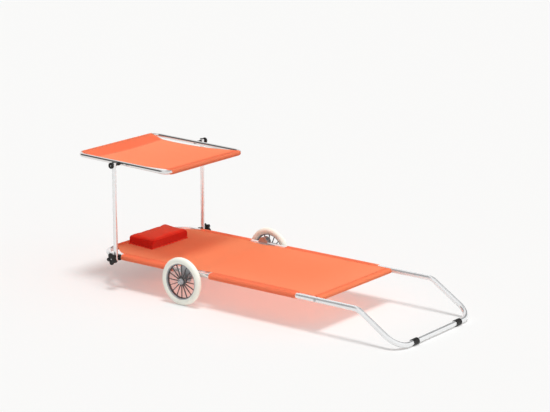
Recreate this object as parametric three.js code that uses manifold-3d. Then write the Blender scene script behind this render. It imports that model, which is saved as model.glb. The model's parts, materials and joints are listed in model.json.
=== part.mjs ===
// Sun lounger with wheels and a tilting canopy, in millimetres, +Z up.
// It is drawn with the axle at X = 0 and the foot end at +X, then centred over its footprint.
// Right is the -Y side: the right hand of someone who lies with the head at -X.

import * as THREE from 'three';
import { mergeVertices } from 'three/addons/utils/BufferGeometryUtils.js';
import Module from 'manifold-3d';

const wasm = await Module();
wasm.setup();

// Fits and facets
const fit_gap = 0.3;               // between two pieces that touch
const cut_overrun = 5;             // how far a cutting solid runs past what it cuts
const tube_sides = 16;
const rod_sides = 10;
const wheel_sides = 32;
const bend_steps = 5;              // rings in each bend of a tube
const quarter_turn = Math.PI / 2;

// Side rails, shared by the foot frame and the head frame
const rail_radius = 12.5;
const rail_half_width = 300;       // middle of the lounger to the centre of a rail
const axle_drop = 40;              // centre of a rail to the axle below it

// Foot frame: rails, sloping legs and the tube on the floor
const leg_bend_x = 976;
const leg_bend_radius = 60;
const floor_bar_x = 1195;
const floor_corner_radius = 80;

// Grips that the foot frame stands on
const grip_wall = 2.8;
const grip_sole_cut = 0.8;         // depth of the flat moulded under each grip
const grip_length = 40;
const grip_from_bend = 25;         // outer end of a grip to the start of the corner bend

// Head frame
const head_bar_x = -545;
const head_corner_radius = 100;

// Hinge between the head frame and the foot frame, with the axle below it
const head_rail_overhang = 10;     // head rail past the centre of the hinge pin
const hinge_pin_radius = 5;
const hinge_pin_head_radius = 9;
const hinge_pin_head_height = 2.5;
const plate_thickness = 2.5;
const plate_crown_radius = 28;
const plate_crown_rise = 11;       // rail centre to the centre of the plate's round top
const plate_lug_radius = 15;
const plate_tail_length = 66;      // hinge pin to the centre of the tail's round end
const plate_tail_margin = 1;       // the tail is this much lower than the rail, above and below
const rivet_radius = 3;
const rivet_head_radius = 6;
const rivet_head_height = 2;
const first_rivet_x = 34;
const stop_pin_radius = 4;
const stop_pin_x = -12;
const stop_pin_head_radius = 6;

// Wheels and axle
const wheel_radius = 115;
const tyre_width = 29;
const tyre_height = 28;            // rim to tread
const tyre_seat_width = 21;        // where the tyre sits on the rim
const tyre_section_points = 10;
const rim_wall = 7;
const rim_width = 22;
const rim_lip = 1.6;
const hub_radius = 14;
const hub_length = 36;
const spoke_count = 16;
const spoke_width_at_hub = 5;
const spoke_width_at_rim = 4;
const spoke_depth = 7;
const axle_radius = 5;
const axle_spacer_radius = 9;
const axle_spacer_length = 4.1;
const axle_cap_radius = 9;
const axle_cap_height = 6;
const axle_cap_wall = 1.5;

// Foot hem bar and its screws
const hem_bar_x = 750;
const hem_bar_radius = 10;
const hem_screw_radius = 2.5;
const hem_screw_head_radius = 5.5;
const hem_screw_head_height = 3;
const hem_screw_depth = 20;

// Bed fabric
const bed_fabric_thickness = 1.7;
const bed_sag = 12;
const bed_sag_run = 180;           // distance from a hem over which the sag grows to its full depth
const bed_fold_clearance = 0.5;    // between the two halves of the bed when the head is raised
const bed_waist_dip = 5;           // the bed hangs lower between the wheels, where no rail carries it
const bed_waist_run = 110;
const bed_waist_inset = 28;        // rail centre to the edge of the bed between the two wheels
const bed_foot_inset = 36;         // the same past the side sleeves, at the foot hem
const bed_corner_inset = 15;       // the same where the cut of the head corner starts
const head_hem_from_bend = 15;     // end of the head hem to the start of the head bar's bend
const bed_corner_past_post = 18;   // post centre to the start of the side sleeve
const bed_corner_past_bar = 15;    // head bar to the end of the cut of the head corner
const bed_head_notch_x = -79;
const bed_foot_notch_x = 140;
const bed_sleeve_setback = 95;     // end of the side sleeve to the foot hem bar
const bed_grid_along = 14;
const bed_grid_across = 12;

// Pillow
const pillow_from_bar = 113;       // head bar to the middle of the pillow
const pillow_length = 158;
const pillow_width = 276;
const pillow_edge_height = 36;
const pillow_crown = 12;
const pillow_side_pull = 5;        // how far each side draws in between the corners
const pillow_edge_round = 4;
const pillow_grid_along = 10;
const pillow_grid_across = 14;
const pillow_grid_up = 4;

// Canopy posts
const post_radius = 10.5;
const post_offset = 30;            // centre of a rail to the centre of its post
const post_from_bar = 127;         // head bar to the pivot of the posts
const post_pivot_length = 458;     // lower pivot to upper pivot
const post_foot = 15;              // lower pivot to the end of the post
const post_top = 12;               // upper pivot to the end of the post
const post_cap_height = 2;
const post_cap_depth = 5;
const post_cap_wall = 2;

// Lower pivots
const lower_bolt_radius = 4;
const lower_bolt_head_radius = 8;
const lower_bolt_head_height = 3.5;
const lower_bolt_recess = 3;       // end of the bolt below the face of the knob
const saddle_length = 30;
const saddle_height = 28;
const saddle_wrap = 8;             // how far the saddle reaches round the rail
const star_knob_radius = 30;
const star_knob_valley = 20;
const star_knob_lobes = 5;
const star_knob_collar_radius = 14;
const star_knob_collar = 8;
const star_knob_thickness = 18;
const star_knob_turn = -1.66;      // angle of its first lobe, in radians
const star_knob_points = 30;

// Upper pivots
const upper_bolt_radius = 3;
const upper_bolt_head_radius = 6.5;
const upper_bolt_head_height = 4;
const upper_bolt_recess = 2;
const upper_bush_radius = 8.5;
const upper_bush_standoff = 24.2;  // side of the canopy tube to the post
const upper_bush_wrap = 6;         // how far the bush reaches round the canopy tube
const round_knob_radius = 15;
const round_knob_flute = 1;
const round_knob_flutes = 12;
const round_knob_collar_radius = 8;
const round_knob_collar = 4;
const round_knob_thickness = 12;
const round_knob_points = 36;

// Canopy
const canopy_tube_radius = 10;
const canopy_tilt_deg = 1.3;       // head side up
const canopy_head_reach = 272;     // pivot to the bar at the head side
const canopy_foot_reach = 293;     // pivot to the bar at the foot side
const canopy_corner_radius = 40;
const canopy_fabric_thickness = 1.7;
const canopy_edge_inset = 27;      // centre of a side tube to the edge of the fabric
const canopy_edge_curve = 12;      // how far each free edge bows in
const canopy_pocket_length = 75;   // head bar to the seam that closes the pocket round it
const canopy_seam_depth = 14;      // the seam lies this much lower than the bar's centre
const canopy_seam_edge_share = 0.5; // of that depth, at a free edge
const canopy_sag = 6;              // of the panel between that seam and the other bar
const canopy_grid_along = 16;
const canopy_pocket_rows = 3;
const canopy_grid_across = 10;

// Finishes
const finish = {
  bright_tube: { color: 0xd2d4d6, roughness: 0.28, metalness: 1.0 },
  plated_steel: { color: 0xb4b6b8, roughness: 0.35, metalness: 1.0 },
  black_plastic: { color: 0x1c1a19, roughness: 0.55, metalness: 0.0 },
  rim_plastic: { color: 0x77797b, roughness: 0.45, metalness: 0.2 },
  pale_tyre: { color: 0xeeebdc, roughness: 0.7, metalness: 0.0 },
  orange_fabric: { color: 0xf2713f, roughness: 0.85, metalness: 0.0 },
  red_fabric: { color: 0xc23322, roughness: 0.85, metalness: 0.0 },
};

// Worked-out places
const sides = [['right', -1], ['left', 1]];
const bore_growth = 1 / Math.cos(Math.PI / rod_sides);
const axle_height = wheel_radius;
const rail_height = axle_height + axle_drop;
const rail_bore_radius = (rail_radius + fit_gap) / Math.cos(Math.PI / tube_sides);
const sleeve_radius = rail_radius + fit_gap + bed_fabric_thickness;
const grip_radius = rail_radius + fit_gap + grip_wall;
const floor_bar_height = grip_radius - grip_sole_cut;
const head_end_reach = Math.hypot(head_rail_overhang, rail_radius);
const foot_rail_start = head_end_reach + 2 * fit_gap;
const outer_plate_face = rail_half_width + rail_radius + fit_gap + plate_thickness;
const inner_plate_face = rail_half_width - rail_radius - fit_gap - plate_thickness;
const spacer_end = outer_plate_face + fit_gap + axle_spacer_length;
const wheel_half_track = spacer_end + fit_gap + hub_length / 2;
const grip_outer_end = rail_half_width - floor_corner_radius - grip_from_bend;
const grip_inner_end = grip_outer_end - grip_length;
const bed_waist_half_width = rail_half_width - bed_waist_inset;
const bed_foot_half_width = rail_half_width - bed_foot_inset;
const bed_corner_half_width = rail_half_width - bed_corner_inset;
const bed_head_half_width = rail_half_width - head_corner_radius - head_hem_from_bend;
const post_pivot_x = head_bar_x + post_from_bar;
const bed_corner_x = post_pivot_x + bed_corner_past_post;
const bed_corner_end_x = head_bar_x + bed_corner_past_bar;
const bed_sleeve_end_x = hem_bar_x - bed_sleeve_setback;
const pillow_x = head_bar_x + pillow_from_bar;
const stop_pin_height = rail_height - rail_radius - fit_gap - stop_pin_radius;
const post_y = rail_half_width + post_offset;
const canopy_half_width = post_y - post_radius - fit_gap - upper_bush_standoff - canopy_tube_radius;
const canopy_edge_half_width = canopy_half_width - canopy_edge_inset;
const canopy_tilt = THREE.MathUtils.degToRad(canopy_tilt_deg);
const upper_pivot_height = rail_height + post_pivot_length;
const hem_sleeve_radius = hem_bar_radius + fit_gap + bed_fabric_thickness;
const canopy_sleeve_radius = canopy_tube_radius + fit_gap + canopy_fabric_thickness;
const canopy_low_x = post_pivot_x - canopy_head_reach * Math.cos(canopy_tilt) - canopy_sleeve_radius;
const foot_high_x = floor_bar_x + grip_radius;
const centre_x = (canopy_low_x + foot_high_x) / 2;

const lounger = new THREE.Group();
lounger.position.x = -centre_x;

// The canopy, its bolts, bushes and round knobs are drawn about the upper pivot and tilt with it
const canopy = new THREE.Group();
canopy.position.set(post_pivot_x, 0, upper_pivot_height);
canopy.rotation.y = canopy_tilt;
lounger.add(canopy);

// A closed geometry as a solid that can be joined and cut
function solidOf(geometry) {
  const bare = geometry.clone();
  bare.deleteAttribute('normal');
  bare.deleteAttribute('uv');
  const merged = mergeVertices(bare);
  const vertProperties = new Float32Array(merged.attributes.position.array);
  const triVerts = new Uint32Array(merged.index.array);
  return new wasm.Manifold(new wasm.Mesh({ numProp: 3, vertProperties, triVerts }));
}

function geometryOf(solid) {
  const mesh = solid.getMesh();
  const geometry = new THREE.BufferGeometry();
  geometry.setAttribute('position', new THREE.BufferAttribute(mesh.vertProperties, 3));
  geometry.setIndex(new THREE.BufferAttribute(mesh.triVerts, 1));
  return geometry;
}

function joined(solids) {
  return solids.reduce((whole, solid) => whole.add(solid));
}

function cut(solid, cutters) {
  return cutters.reduce((rest, cutter) => rest.subtract(cutter), solid);
}

function addPiece(name, geometry, finish_name, holder = lounger) {
  const material = new THREE.MeshStandardMaterial(finish[finish_name]);
  const mesh = new THREE.Mesh(geometry, material);
  mesh.name = name;
  holder.add(mesh);
  return mesh;
}

function addSolid(name, solid, finish_name, holder = lounger) {
  return addPiece(name, geometryOf(solid), finish_name, holder);
}

// Rods along Y, X and Z between two ends
function rodAlongY(x, z, y_from, y_to, radius, segments = rod_sides) {
  const rod = new THREE.CylinderGeometry(radius, radius, Math.abs(y_to - y_from), segments);
  rod.translate(x, (y_from + y_to) / 2, z);
  return solidOf(rod);
}

function rodAlongX(y, z, x_from, x_to, radius, segments = rod_sides) {
  const rod = new THREE.CylinderGeometry(radius, radius, Math.abs(x_to - x_from), segments);
  rod.rotateZ(quarter_turn);
  rod.translate((x_from + x_to) / 2, y, z);
  return solidOf(rod);
}

function rodAlongZ(x, y, z_from, z_to, radius, segments = rod_sides) {
  const rod = new THREE.CylinderGeometry(radius, radius, Math.abs(z_to - z_from), segments);
  rod.rotateX(quarter_turn);
  rod.translate(x, y, (z_from + z_to) / 2);
  return solidOf(rod);
}

function block(low, high) {
  const box = new THREE.BoxGeometry(high.x - low.x, high.y - low.y, high.z - low.z);
  const middle = low.clone().add(high).multiplyScalar(1 / 2);
  box.translate(middle.x, middle.y, middle.z);
  return solidOf(box);
}

// A flat outline in X and Z, given a thickness between two values of Y
function slabAlongY(shape, y_from, y_to) {
  const slab = new THREE.ExtrudeGeometry(shape, { depth: Math.abs(y_to - y_from), bevelEnabled: false });
  slab.rotateX(quarter_turn);
  slab.translate(0, Math.max(y_from, y_to), 0);
  return solidOf(slab);
}

// A flat outline in X and Y, given a height
function slabAlongZ(shape, z_from, z_to) {
  const slab = new THREE.ExtrudeGeometry(shape, { depth: z_to - z_from, bevelEnabled: false });
  slab.translate(0, 0, z_from);
  return solidOf(slab);
}

// The centre line of a bent tube, which keeps one ring at each station
class BentPath extends THREE.Curve {
  constructor(stations) {
    super();
    this.stations = stations;
  }

  station(share) {
    return this.stations[Math.round(share * (this.stations.length - 1))];
  }

  getPointAt(share) {
    return this.station(share).point.clone();
  }

  getTangentAt(share) {
    return this.station(share).tangent.clone();
  }

  getSpacedPoints() {
    return this.stations.map((entry) => entry.point.clone());
  }
}

// Straight runs between corners, with a round bend at each inner corner
function bentStations(corners) {
  const stations = [];
  const last = corners.length - 1;
  const start_direction = corners[1].at.clone().sub(corners[0].at).normalize();
  stations.push({ point: corners[0].at.clone(), tangent: start_direction });
  for (let i = 1; i < last; i += 1) {
    const before = corners[i].at.clone().sub(corners[i - 1].at).normalize();
    const after = corners[i + 1].at.clone().sub(corners[i].at).normalize();
    const turn = before.angleTo(after);
    const axis = before.clone().cross(after).normalize();
    const inward = axis.clone().cross(before);
    const tangent_length = corners[i].bend * Math.tan(turn / 2);
    const entry = corners[i].at.clone().addScaledVector(before, -tangent_length);
    const centre = entry.clone().addScaledVector(inward, corners[i].bend);
    for (let step = 0; step <= bend_steps; step += 1) {
      const angle = turn * step / bend_steps;
      const arm = inward.clone().negate().applyAxisAngle(axis, angle);
      const point = centre.clone().addScaledVector(arm, corners[i].bend);
      stations.push({ point, tangent: before.clone().applyAxisAngle(axis, angle) });
    }
  }
  const end_direction = corners[last].at.clone().sub(corners[last - 1].at).normalize();
  stations.push({ point: corners[last].at.clone(), tangent: end_direction });
  return stations;
}

function bentTube(corners, radius) {
  const section = [];
  for (let i = 0; i < tube_sides; i += 1) {
    const angle = 2 * Math.PI * i / tube_sides;
    section.push(new THREE.Vector2(radius * Math.cos(angle), radius * Math.sin(angle)));
  }
  const stations = bentStations(corners);
  const tube = new THREE.ExtrudeGeometry(new THREE.Shape(section), {
    steps: stations.length - 1,
    bevelEnabled: false,
    extrudePath: new BentPath(stations),
  });
  return solidOf(tube);
}

// A pin with a flat head at both ends, along Y
function headedPin(x, z, y_from, y_to, radius, head_radius, head_height) {
  const low = Math.min(y_from, y_to);
  const high = Math.max(y_from, y_to);
  return joined([
    rodAlongY(x, z, low - head_height, high + head_height, radius),
    rodAlongY(x, z, low - head_height, low, head_radius),
    rodAlongY(x, z, high, high + head_height, head_radius),
  ]);
}

function holeAlongY(x, z, y_from, y_to, shaft_radius) {
  const low = Math.min(y_from, y_to) - cut_overrun;
  const high = Math.max(y_from, y_to) + cut_overrun;
  return rodAlongY(x, z, low, high, (shaft_radius + fit_gap) * bore_growth);
}

// Foot frame
function footFrame() {
  const corner = (x, side, z, bend) => ({ at: new THREE.Vector3(x, side * rail_half_width, z), bend });
  const tube = bentTube([
    corner(foot_rail_start, -1, rail_height, 0),
    corner(leg_bend_x, -1, rail_height, leg_bend_radius),
    corner(floor_bar_x, -1, floor_bar_height, floor_corner_radius),
    corner(floor_bar_x, 1, floor_bar_height, floor_corner_radius),
    corner(leg_bend_x, 1, rail_height, leg_bend_radius),
    corner(foot_rail_start, 1, rail_height, 0),
  ], rail_radius);
  const holes = [];
  for (const [, side] of sides) {
    const inner = side * (rail_half_width - rail_radius);
    const outer = side * (rail_half_width + rail_radius);
    holes.push(holeAlongY(first_rivet_x, rail_height, inner, outer, rivet_radius));
    holes.push(holeAlongY(plate_tail_length, rail_height, inner, outer, rivet_radius));
    holes.push(holeAlongY(hem_bar_x, rail_height, inner, outer, hem_screw_radius));
  }
  addSolid('foot_frame_tube', cut(tube, holes), 'bright_tube');
}

function footGrips() {
  for (const [name, side] of sides) {
    const inner = side * grip_inner_end;
    const outer = side * (grip_inner_end + grip_length);
    const sleeve = rodAlongY(floor_bar_x, floor_bar_height, inner, outer, grip_radius, tube_sides);
    const bore = rodAlongY(
      floor_bar_x,
      floor_bar_height,
      inner - side * cut_overrun,
      outer + side * cut_overrun,
      rail_bore_radius,
      tube_sides,
    );
    const sole = block(
      new THREE.Vector3(floor_bar_x - grip_radius, Math.min(inner, outer) - cut_overrun, -cut_overrun),
      new THREE.Vector3(floor_bar_x + grip_radius, Math.max(inner, outer) + cut_overrun, 0),
    );
    addSolid(`foot_grip_${name}`, cut(sleeve, [bore, sole]), 'black_plastic');
  }
}

// Bar in the foot hem, with a round seat against each rail
function footHemBar() {
  const reach = rail_half_width - rail_radius / 2;
  const bar = rodAlongY(hem_bar_x, rail_height, -reach, reach, hem_bar_radius);
  const cutters = [];
  for (const [, side] of sides) {
    const x_low = hem_bar_x - hem_bar_radius - cut_overrun;
    const x_high = hem_bar_x + hem_bar_radius + cut_overrun;
    cutters.push(rodAlongX(side * rail_half_width, rail_height, x_low, x_high, rail_bore_radius, tube_sides));
    const hole_end = side * (rail_half_width - rail_radius - hem_screw_depth);
    cutters.push(holeAlongY(hem_bar_x, rail_height, hole_end, side * rail_half_width, hem_screw_radius));
  }
  addSolid('foot_hem_bar', cut(bar, cutters), 'bright_tube');
  for (const [name, side] of sides) {
    const seat = side * (rail_half_width + rail_radius + fit_gap);
    const tip = side * (rail_half_width - rail_radius - hem_screw_depth);
    const screw = joined([
      rodAlongY(hem_bar_x, rail_height, tip, seat + side * hem_screw_head_height, hem_screw_radius),
      rodAlongY(hem_bar_x, rail_height, seat, seat + side * hem_screw_head_height, hem_screw_head_radius),
    ]);
    addSolid(`foot_hem_screw_${name}`, screw, 'plated_steel');
  }
}

// Head frame
function headFrame() {
  const corner = (x, side, bend) => ({ at: new THREE.Vector3(x, side * rail_half_width, rail_height), bend });
  const tube = bentTube([
    corner(head_rail_overhang, -1, 0),
    corner(head_bar_x, -1, head_corner_radius),
    corner(head_bar_x, 1, head_corner_radius),
    corner(head_rail_overhang, 1, 0),
  ], rail_radius);
  const holes = [];
  for (const [, side] of sides) {
    const inner = side * (rail_half_width - rail_radius);
    const outer = side * (rail_half_width + rail_radius);
    holes.push(holeAlongY(0, rail_height, inner, outer, hinge_pin_radius));
    holes.push(holeAlongY(post_pivot_x, rail_height, inner, outer, lower_bolt_radius));
  }
  addSolid('head_frame_tube', cut(tube, holes), 'bright_tube');
}

// One hinge plate: a round top over the hinge pin, a lug for the axle and a tail along the foot rail
function hingePlate(y_from, y_to) {
  const crown_height = rail_height + plate_crown_rise;
  const tail_half_height = rail_radius - plate_tail_margin;
  const web = new THREE.Shape([
    new THREE.Vector2(-plate_crown_radius, -crown_height),
    new THREE.Vector2(-plate_lug_radius, -axle_height),
    new THREE.Vector2(plate_lug_radius, -axle_height),
    new THREE.Vector2(plate_crown_radius, -crown_height),
  ]);
  const tail = block(
    new THREE.Vector3(0, Math.min(y_from, y_to), rail_height - tail_half_height),
    new THREE.Vector3(plate_tail_length, Math.max(y_from, y_to), rail_height + tail_half_height),
  );
  const plate = joined([
    rodAlongY(0, crown_height, y_from, y_to, plate_crown_radius, tube_sides),
    rodAlongY(0, axle_height, y_from, y_to, plate_lug_radius, tube_sides),
    slabAlongY(web, y_from, y_to).mirror([0, 0, 1]),
    tail,
    rodAlongY(plate_tail_length, rail_height, y_from, y_to, tail_half_height, tube_sides),
  ]);
  return cut(plate, [
    holeAlongY(0, rail_height, y_from, y_to, hinge_pin_radius),
    holeAlongY(0, axle_height, y_from, y_to, axle_radius),
    holeAlongY(stop_pin_x, stop_pin_height, y_from, y_to, stop_pin_radius),
    holeAlongY(first_rivet_x, rail_height, y_from, y_to, rivet_radius),
    holeAlongY(plate_tail_length, rail_height, y_from, y_to, rivet_radius),
  ]);
}

function hinges() {
  for (const [name, side] of sides) {
    const outer = side * outer_plate_face;
    const inner = side * inner_plate_face;
    const outer_plate = hingePlate(outer - side * plate_thickness, outer);
    const inner_plate = hingePlate(inner, inner + side * plate_thickness);
    addSolid(`hinge_plate_outer_${name}`, outer_plate, 'plated_steel');
    addSolid(`hinge_plate_inner_${name}`, inner_plate, 'plated_steel');
    const pin_from = inner - side * fit_gap;
    const pin_to = outer + side * fit_gap;
    const pin = headedPin(
      0, rail_height, pin_from, pin_to, hinge_pin_radius, hinge_pin_head_radius, hinge_pin_head_height,
    );
    addSolid(`hinge_pin_${name}`, pin, 'plated_steel');
    const stop = headedPin(
      stop_pin_x, stop_pin_height, pin_from, pin_to, stop_pin_radius, stop_pin_head_radius, rivet_head_height,
    );
    addSolid(`head_stop_pin_${name}`, stop, 'plated_steel');
    const rivet_places = [['front', first_rivet_x], ['rear', plate_tail_length]];
    for (const [place, x] of rivet_places) {
      const rivet = headedPin(
        x, rail_height, pin_from, pin_to, rivet_radius, rivet_head_radius, rivet_head_height,
      );
      addSolid(`hinge_rivet_${place}_${name}`, rivet, 'plated_steel');
    }
  }
}

// Wheels
function tyreGeometry() {
  const seat_angle = Math.acos(tyre_seat_width / tyre_width);
  const section_half_height = tyre_height / (1 + Math.sin(seat_angle));
  const profile = [];
  for (let i = 0; i <= tyre_section_points; i += 1) {
    const angle = -seat_angle + (Math.PI + 2 * seat_angle) * i / tyre_section_points;
    const radial = wheel_radius - section_half_height * (1 - Math.sin(angle));
    profile.push(new THREE.Vector2(radial, tyre_width / 2 * Math.cos(angle)));
  }
  profile.push(profile[0].clone());
  return new THREE.LatheGeometry(profile.reverse(), wheel_sides);
}

function rimSolid(seat_radius) {
  const inner = seat_radius - rim_wall;
  const half = rim_width / 2;
  const ring_profile = [
    new THREE.Vector2(inner, -half),
    new THREE.Vector2(seat_radius, -half),
    new THREE.Vector2(seat_radius, half),
    new THREE.Vector2(inner, half),
    new THREE.Vector2(inner + rim_lip, 0),
    new THREE.Vector2(inner, -half),
  ];
  const ring = solidOf(new THREE.LatheGeometry(ring_profile, wheel_sides));
  const hub = rodAlongY(0, 0, -hub_length / 2, hub_length / 2, hub_radius, tube_sides);
  const spoke_shape = new THREE.Shape([
    new THREE.Vector2(0, -spoke_width_at_hub / 2),
    new THREE.Vector2(inner + rim_wall / 2, -spoke_width_at_rim / 2),
    new THREE.Vector2(inner + rim_wall / 2, spoke_width_at_rim / 2),
    new THREE.Vector2(0, spoke_width_at_hub / 2),
  ]);
  const spokes = [];
  for (let i = 0; i < spoke_count; i += 1) {
    const spoke = new THREE.ExtrudeGeometry(spoke_shape, { depth: spoke_depth, bevelEnabled: false });
    spoke.rotateX(quarter_turn);
    spoke.translate(0, spoke_depth / 2, 0);
    spoke.rotateY(2 * Math.PI * i / spoke_count);
    spokes.push(solidOf(spoke));
  }
  const bore = holeAlongY(0, 0, -hub_length / 2, hub_length / 2, axle_radius);
  return cut(joined([ring, hub, ...spokes]), [bore]);
}

function wheels() {
  const seat_radius = wheel_radius - tyre_height;
  for (const [name, side] of sides) {
    const tyre = addPiece(`tyre_${name}`, tyreGeometry(), 'pale_tyre');
    tyre.position.set(0, side * wheel_half_track, axle_height);
    const rim = addSolid(`wheel_rim_${name}`, rimSolid(seat_radius - fit_gap), 'rim_plastic');
    rim.position.set(0, side * wheel_half_track, axle_height);
  }
}

function axle() {
  const hub_inner = wheel_half_track - hub_length / 2;
  const cap_seat = wheel_half_track + hub_length / 2 + fit_gap;
  const axle_end = cap_seat + axle_cap_height - axle_cap_wall - fit_gap;
  addSolid('axle', rodAlongY(0, axle_height, -axle_end, axle_end, axle_radius), 'plated_steel');
  for (const [name, side] of sides) {
    const spacer_from = side * (outer_plate_face + fit_gap);
    const spacer_to = side * (hub_inner - fit_gap);
    const spacer = rodAlongY(0, axle_height, spacer_from, spacer_to, axle_spacer_radius);
    const bore = holeAlongY(0, axle_height, spacer_from, spacer_to, axle_radius);
    addSolid(`axle_spacer_${name}`, spacer.subtract(bore), 'black_plastic');
    const cap_from = side * cap_seat;
    const cap_to = side * (cap_seat + axle_cap_height);
    const cap = rodAlongY(0, axle_height, cap_from, cap_to, axle_cap_radius);
    const socket = rodAlongY(
      0,
      axle_height,
      cap_from - side * cut_overrun,
      cap_to - side * axle_cap_wall,
      (axle_radius + fit_gap) * bore_growth,
    );
    addSolid(`axle_cap_${name}`, cap.subtract(socket), 'plated_steel');
  }
}

// Bed fabric
function easedSag(distance, run, depth) {
  return depth * Math.sin(quarter_turn * Math.min(1, Math.max(0, distance) / run));
}

// Top of the bed fabric at a place, with the hem's height and the distance to it
function bedTop(x, y) {
  const hem_x = x < 0 ? head_bar_x : hem_bar_x;
  const hem_rise = x < 0 ? sleeve_radius : hem_sleeve_radius;
  const distance = Math.abs(hem_x - x);
  const settle = Math.min(1, distance / bed_sag_run);
  const level = hem_rise + (sleeve_radius - hem_rise) * settle;
  const across = 1 - (y / rail_half_width) ** 2;
  const waist = Math.cos(quarter_turn * Math.min(1, Math.abs(x) / bed_waist_run)) ** 2;
  const sag = easedSag(distance, bed_sag_run, bed_sag) * across;
  return rail_height + level - sag - bed_waist_dip * waist;
}

// Where each half of the bed ends, so that both clear each other with the head raised a quarter turn
function foldEdge(y) {
  return Math.max(0, bedTop(0, y) - rail_height) + bed_fold_clearance;
}

// A sheet over a rectangle, curved by a height function for its top face
function sheet(x_from, x_to, half_width, thickness, along, across, topAt) {
  const box = new THREE.BoxGeometry(x_to - x_from, 2 * half_width, thickness, along, across, 1);
  box.translate((x_from + x_to) / 2, 0, -thickness / 2);
  const place = box.attributes.position;
  for (let i = 0; i < place.count; i += 1) {
    place.setZ(i, place.getZ(i) + topAt(place.getX(i), place.getY(i)));
  }
  return box;
}

// Half of the bed, from a hem to the fold
function bedHalf(hem_x) {
  const toward_hem = Math.sign(hem_x);
  const low = Math.min(hem_x, 0);
  const high = Math.max(hem_x, 0);
  const flat = sheet(
    low, high, rail_half_width, bed_fabric_thickness, bed_grid_along, bed_grid_across, () => 0,
  );
  const place = flat.attributes.position;
  for (let i = 0; i < place.count; i += 1) {
    const y = place.getY(i);
    const edge = toward_hem * foldEdge(y);
    const x = edge + place.getX(i) * (hem_x - edge) / hem_x;
    place.setXYZ(i, x, y, place.getZ(i) + bedTop(x, y));
  }
  return solidOf(flat);
}

// Cuts away everything outside a half width, between two values of X, on both sides
function sideCutters(x_from, x_to, half_width, height = rail_height) {
  return sides.map(([, side]) => {
    const edge = side * half_width;
    const far = side * (rail_half_width + sleeve_radius + cut_overrun);
    return block(
      new THREE.Vector3(x_from, Math.min(edge, far), height - sleeve_radius - cut_overrun),
      new THREE.Vector3(x_to, Math.max(edge, far), height + sleeve_radius + cut_overrun),
    );
  });
}

function railBores(x_from, x_to) {
  return sides.map(([, side]) => rodAlongX(
    side * rail_half_width, rail_height, x_from, x_to, rail_bore_radius, tube_sides,
  ));
}

function railSleeves(x_from, x_to) {
  return sides.map(([, side]) => rodAlongX(
    side * rail_half_width, rail_height, x_from, x_to, sleeve_radius, tube_sides,
  ));
}

function headCornerCutters() {
  const far_x = head_bar_x - sleeve_radius - cut_overrun;
  const far_y = rail_half_width + sleeve_radius + cut_overrun;
  return sides.map(([, side]) => {
    const outline = [
      new THREE.Vector2(bed_corner_x, side * bed_corner_half_width),
      new THREE.Vector2(bed_corner_x, side * far_y),
      new THREE.Vector2(far_x, side * far_y),
      new THREE.Vector2(far_x, side * bed_head_half_width),
      new THREE.Vector2(bed_corner_end_x, side * bed_head_half_width),
    ];
    const low = rail_height - sleeve_radius - cut_overrun;
    const high = rail_height + sleeve_radius + cut_overrun;
    return slabAlongZ(new THREE.Shape(outline), low, high);
  });
}

function bedFabric() {
  const head_hem = rodAlongY(
    head_bar_x, rail_height, -bed_head_half_width, bed_head_half_width, sleeve_radius, tube_sides,
  );
  const head_hem_bore = rodAlongY(
    head_bar_x, rail_height, -rail_half_width, rail_half_width, rail_bore_radius, tube_sides,
  );
  const head_panel = joined([bedHalf(head_bar_x), ...railSleeves(bed_corner_x, bed_head_notch_x)]);
  const head_trimmed = cut(head_panel, [
    ...headCornerCutters(),
    ...sideCutters(bed_head_notch_x, 0, bed_waist_half_width),
  ]);
  const head_cloth = cut(head_trimmed.add(head_hem), [
    head_hem_bore,
    ...railBores(bed_corner_x - cut_overrun, 0),
  ]);
  addSolid('bed_fabric_head', head_cloth, 'orange_fabric');

  const foot_hem = rodAlongY(
    hem_bar_x, rail_height, -bed_foot_half_width, bed_foot_half_width, hem_sleeve_radius,
  );
  const foot_hem_bore = rodAlongY(
    hem_bar_x, rail_height, -rail_half_width, rail_half_width, (hem_bar_radius + fit_gap) * bore_growth,
  );
  const foot_panel = joined([bedHalf(hem_bar_x), ...railSleeves(bed_foot_notch_x, bed_sleeve_end_x)]);
  const foot_trimmed = cut(foot_panel, [
    ...sideCutters(0, bed_foot_notch_x, bed_waist_half_width),
    ...sideCutters(bed_sleeve_end_x, hem_bar_x + cut_overrun, bed_foot_half_width),
  ]);
  const foot_cloth = cut(foot_trimmed.add(foot_hem), [
    foot_hem_bore,
    ...railBores(0, hem_bar_x),
  ]);
  addSolid('bed_fabric_foot', foot_cloth, 'orange_fabric');
}

// Pillow: a crowned block whose sides draw in between its corners and whose base lies on the bed
function pillow() {
  const half_length = pillow_length / 2;
  const half_width = pillow_width / 2;
  const box = new THREE.BoxGeometry(
    pillow_length, pillow_width, pillow_edge_height, pillow_grid_along, pillow_grid_across, pillow_grid_up,
  );
  const place = box.attributes.position;
  for (let i = 0; i < place.count; i += 1) {
    const along = place.getX(i) / half_length;
    const across = place.getY(i) / half_width;
    const up = place.getZ(i) / pillow_edge_height + 1 / 2;
    const bulge = 4 * up * (1 - up);
    const round = pillow_edge_round * (1 - bulge);
    const pull_along = pillow_side_pull * (1 - across ** 2) + round;
    const pull_across = pillow_side_pull * (1 - along ** 2) + round;
    const x = pillow_x + along * (half_length - pull_along);
    const y = across * (half_width - pull_across);
    const crown = pillow_crown * (1 - along ** 2) * (1 - across ** 2) * up;
    const base = bedTop(x, y) + fit_gap;
    place.setXYZ(i, x, y, base + up * pillow_edge_height + crown);
  }
  addPiece('pillow', box, 'red_fabric');
}

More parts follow.
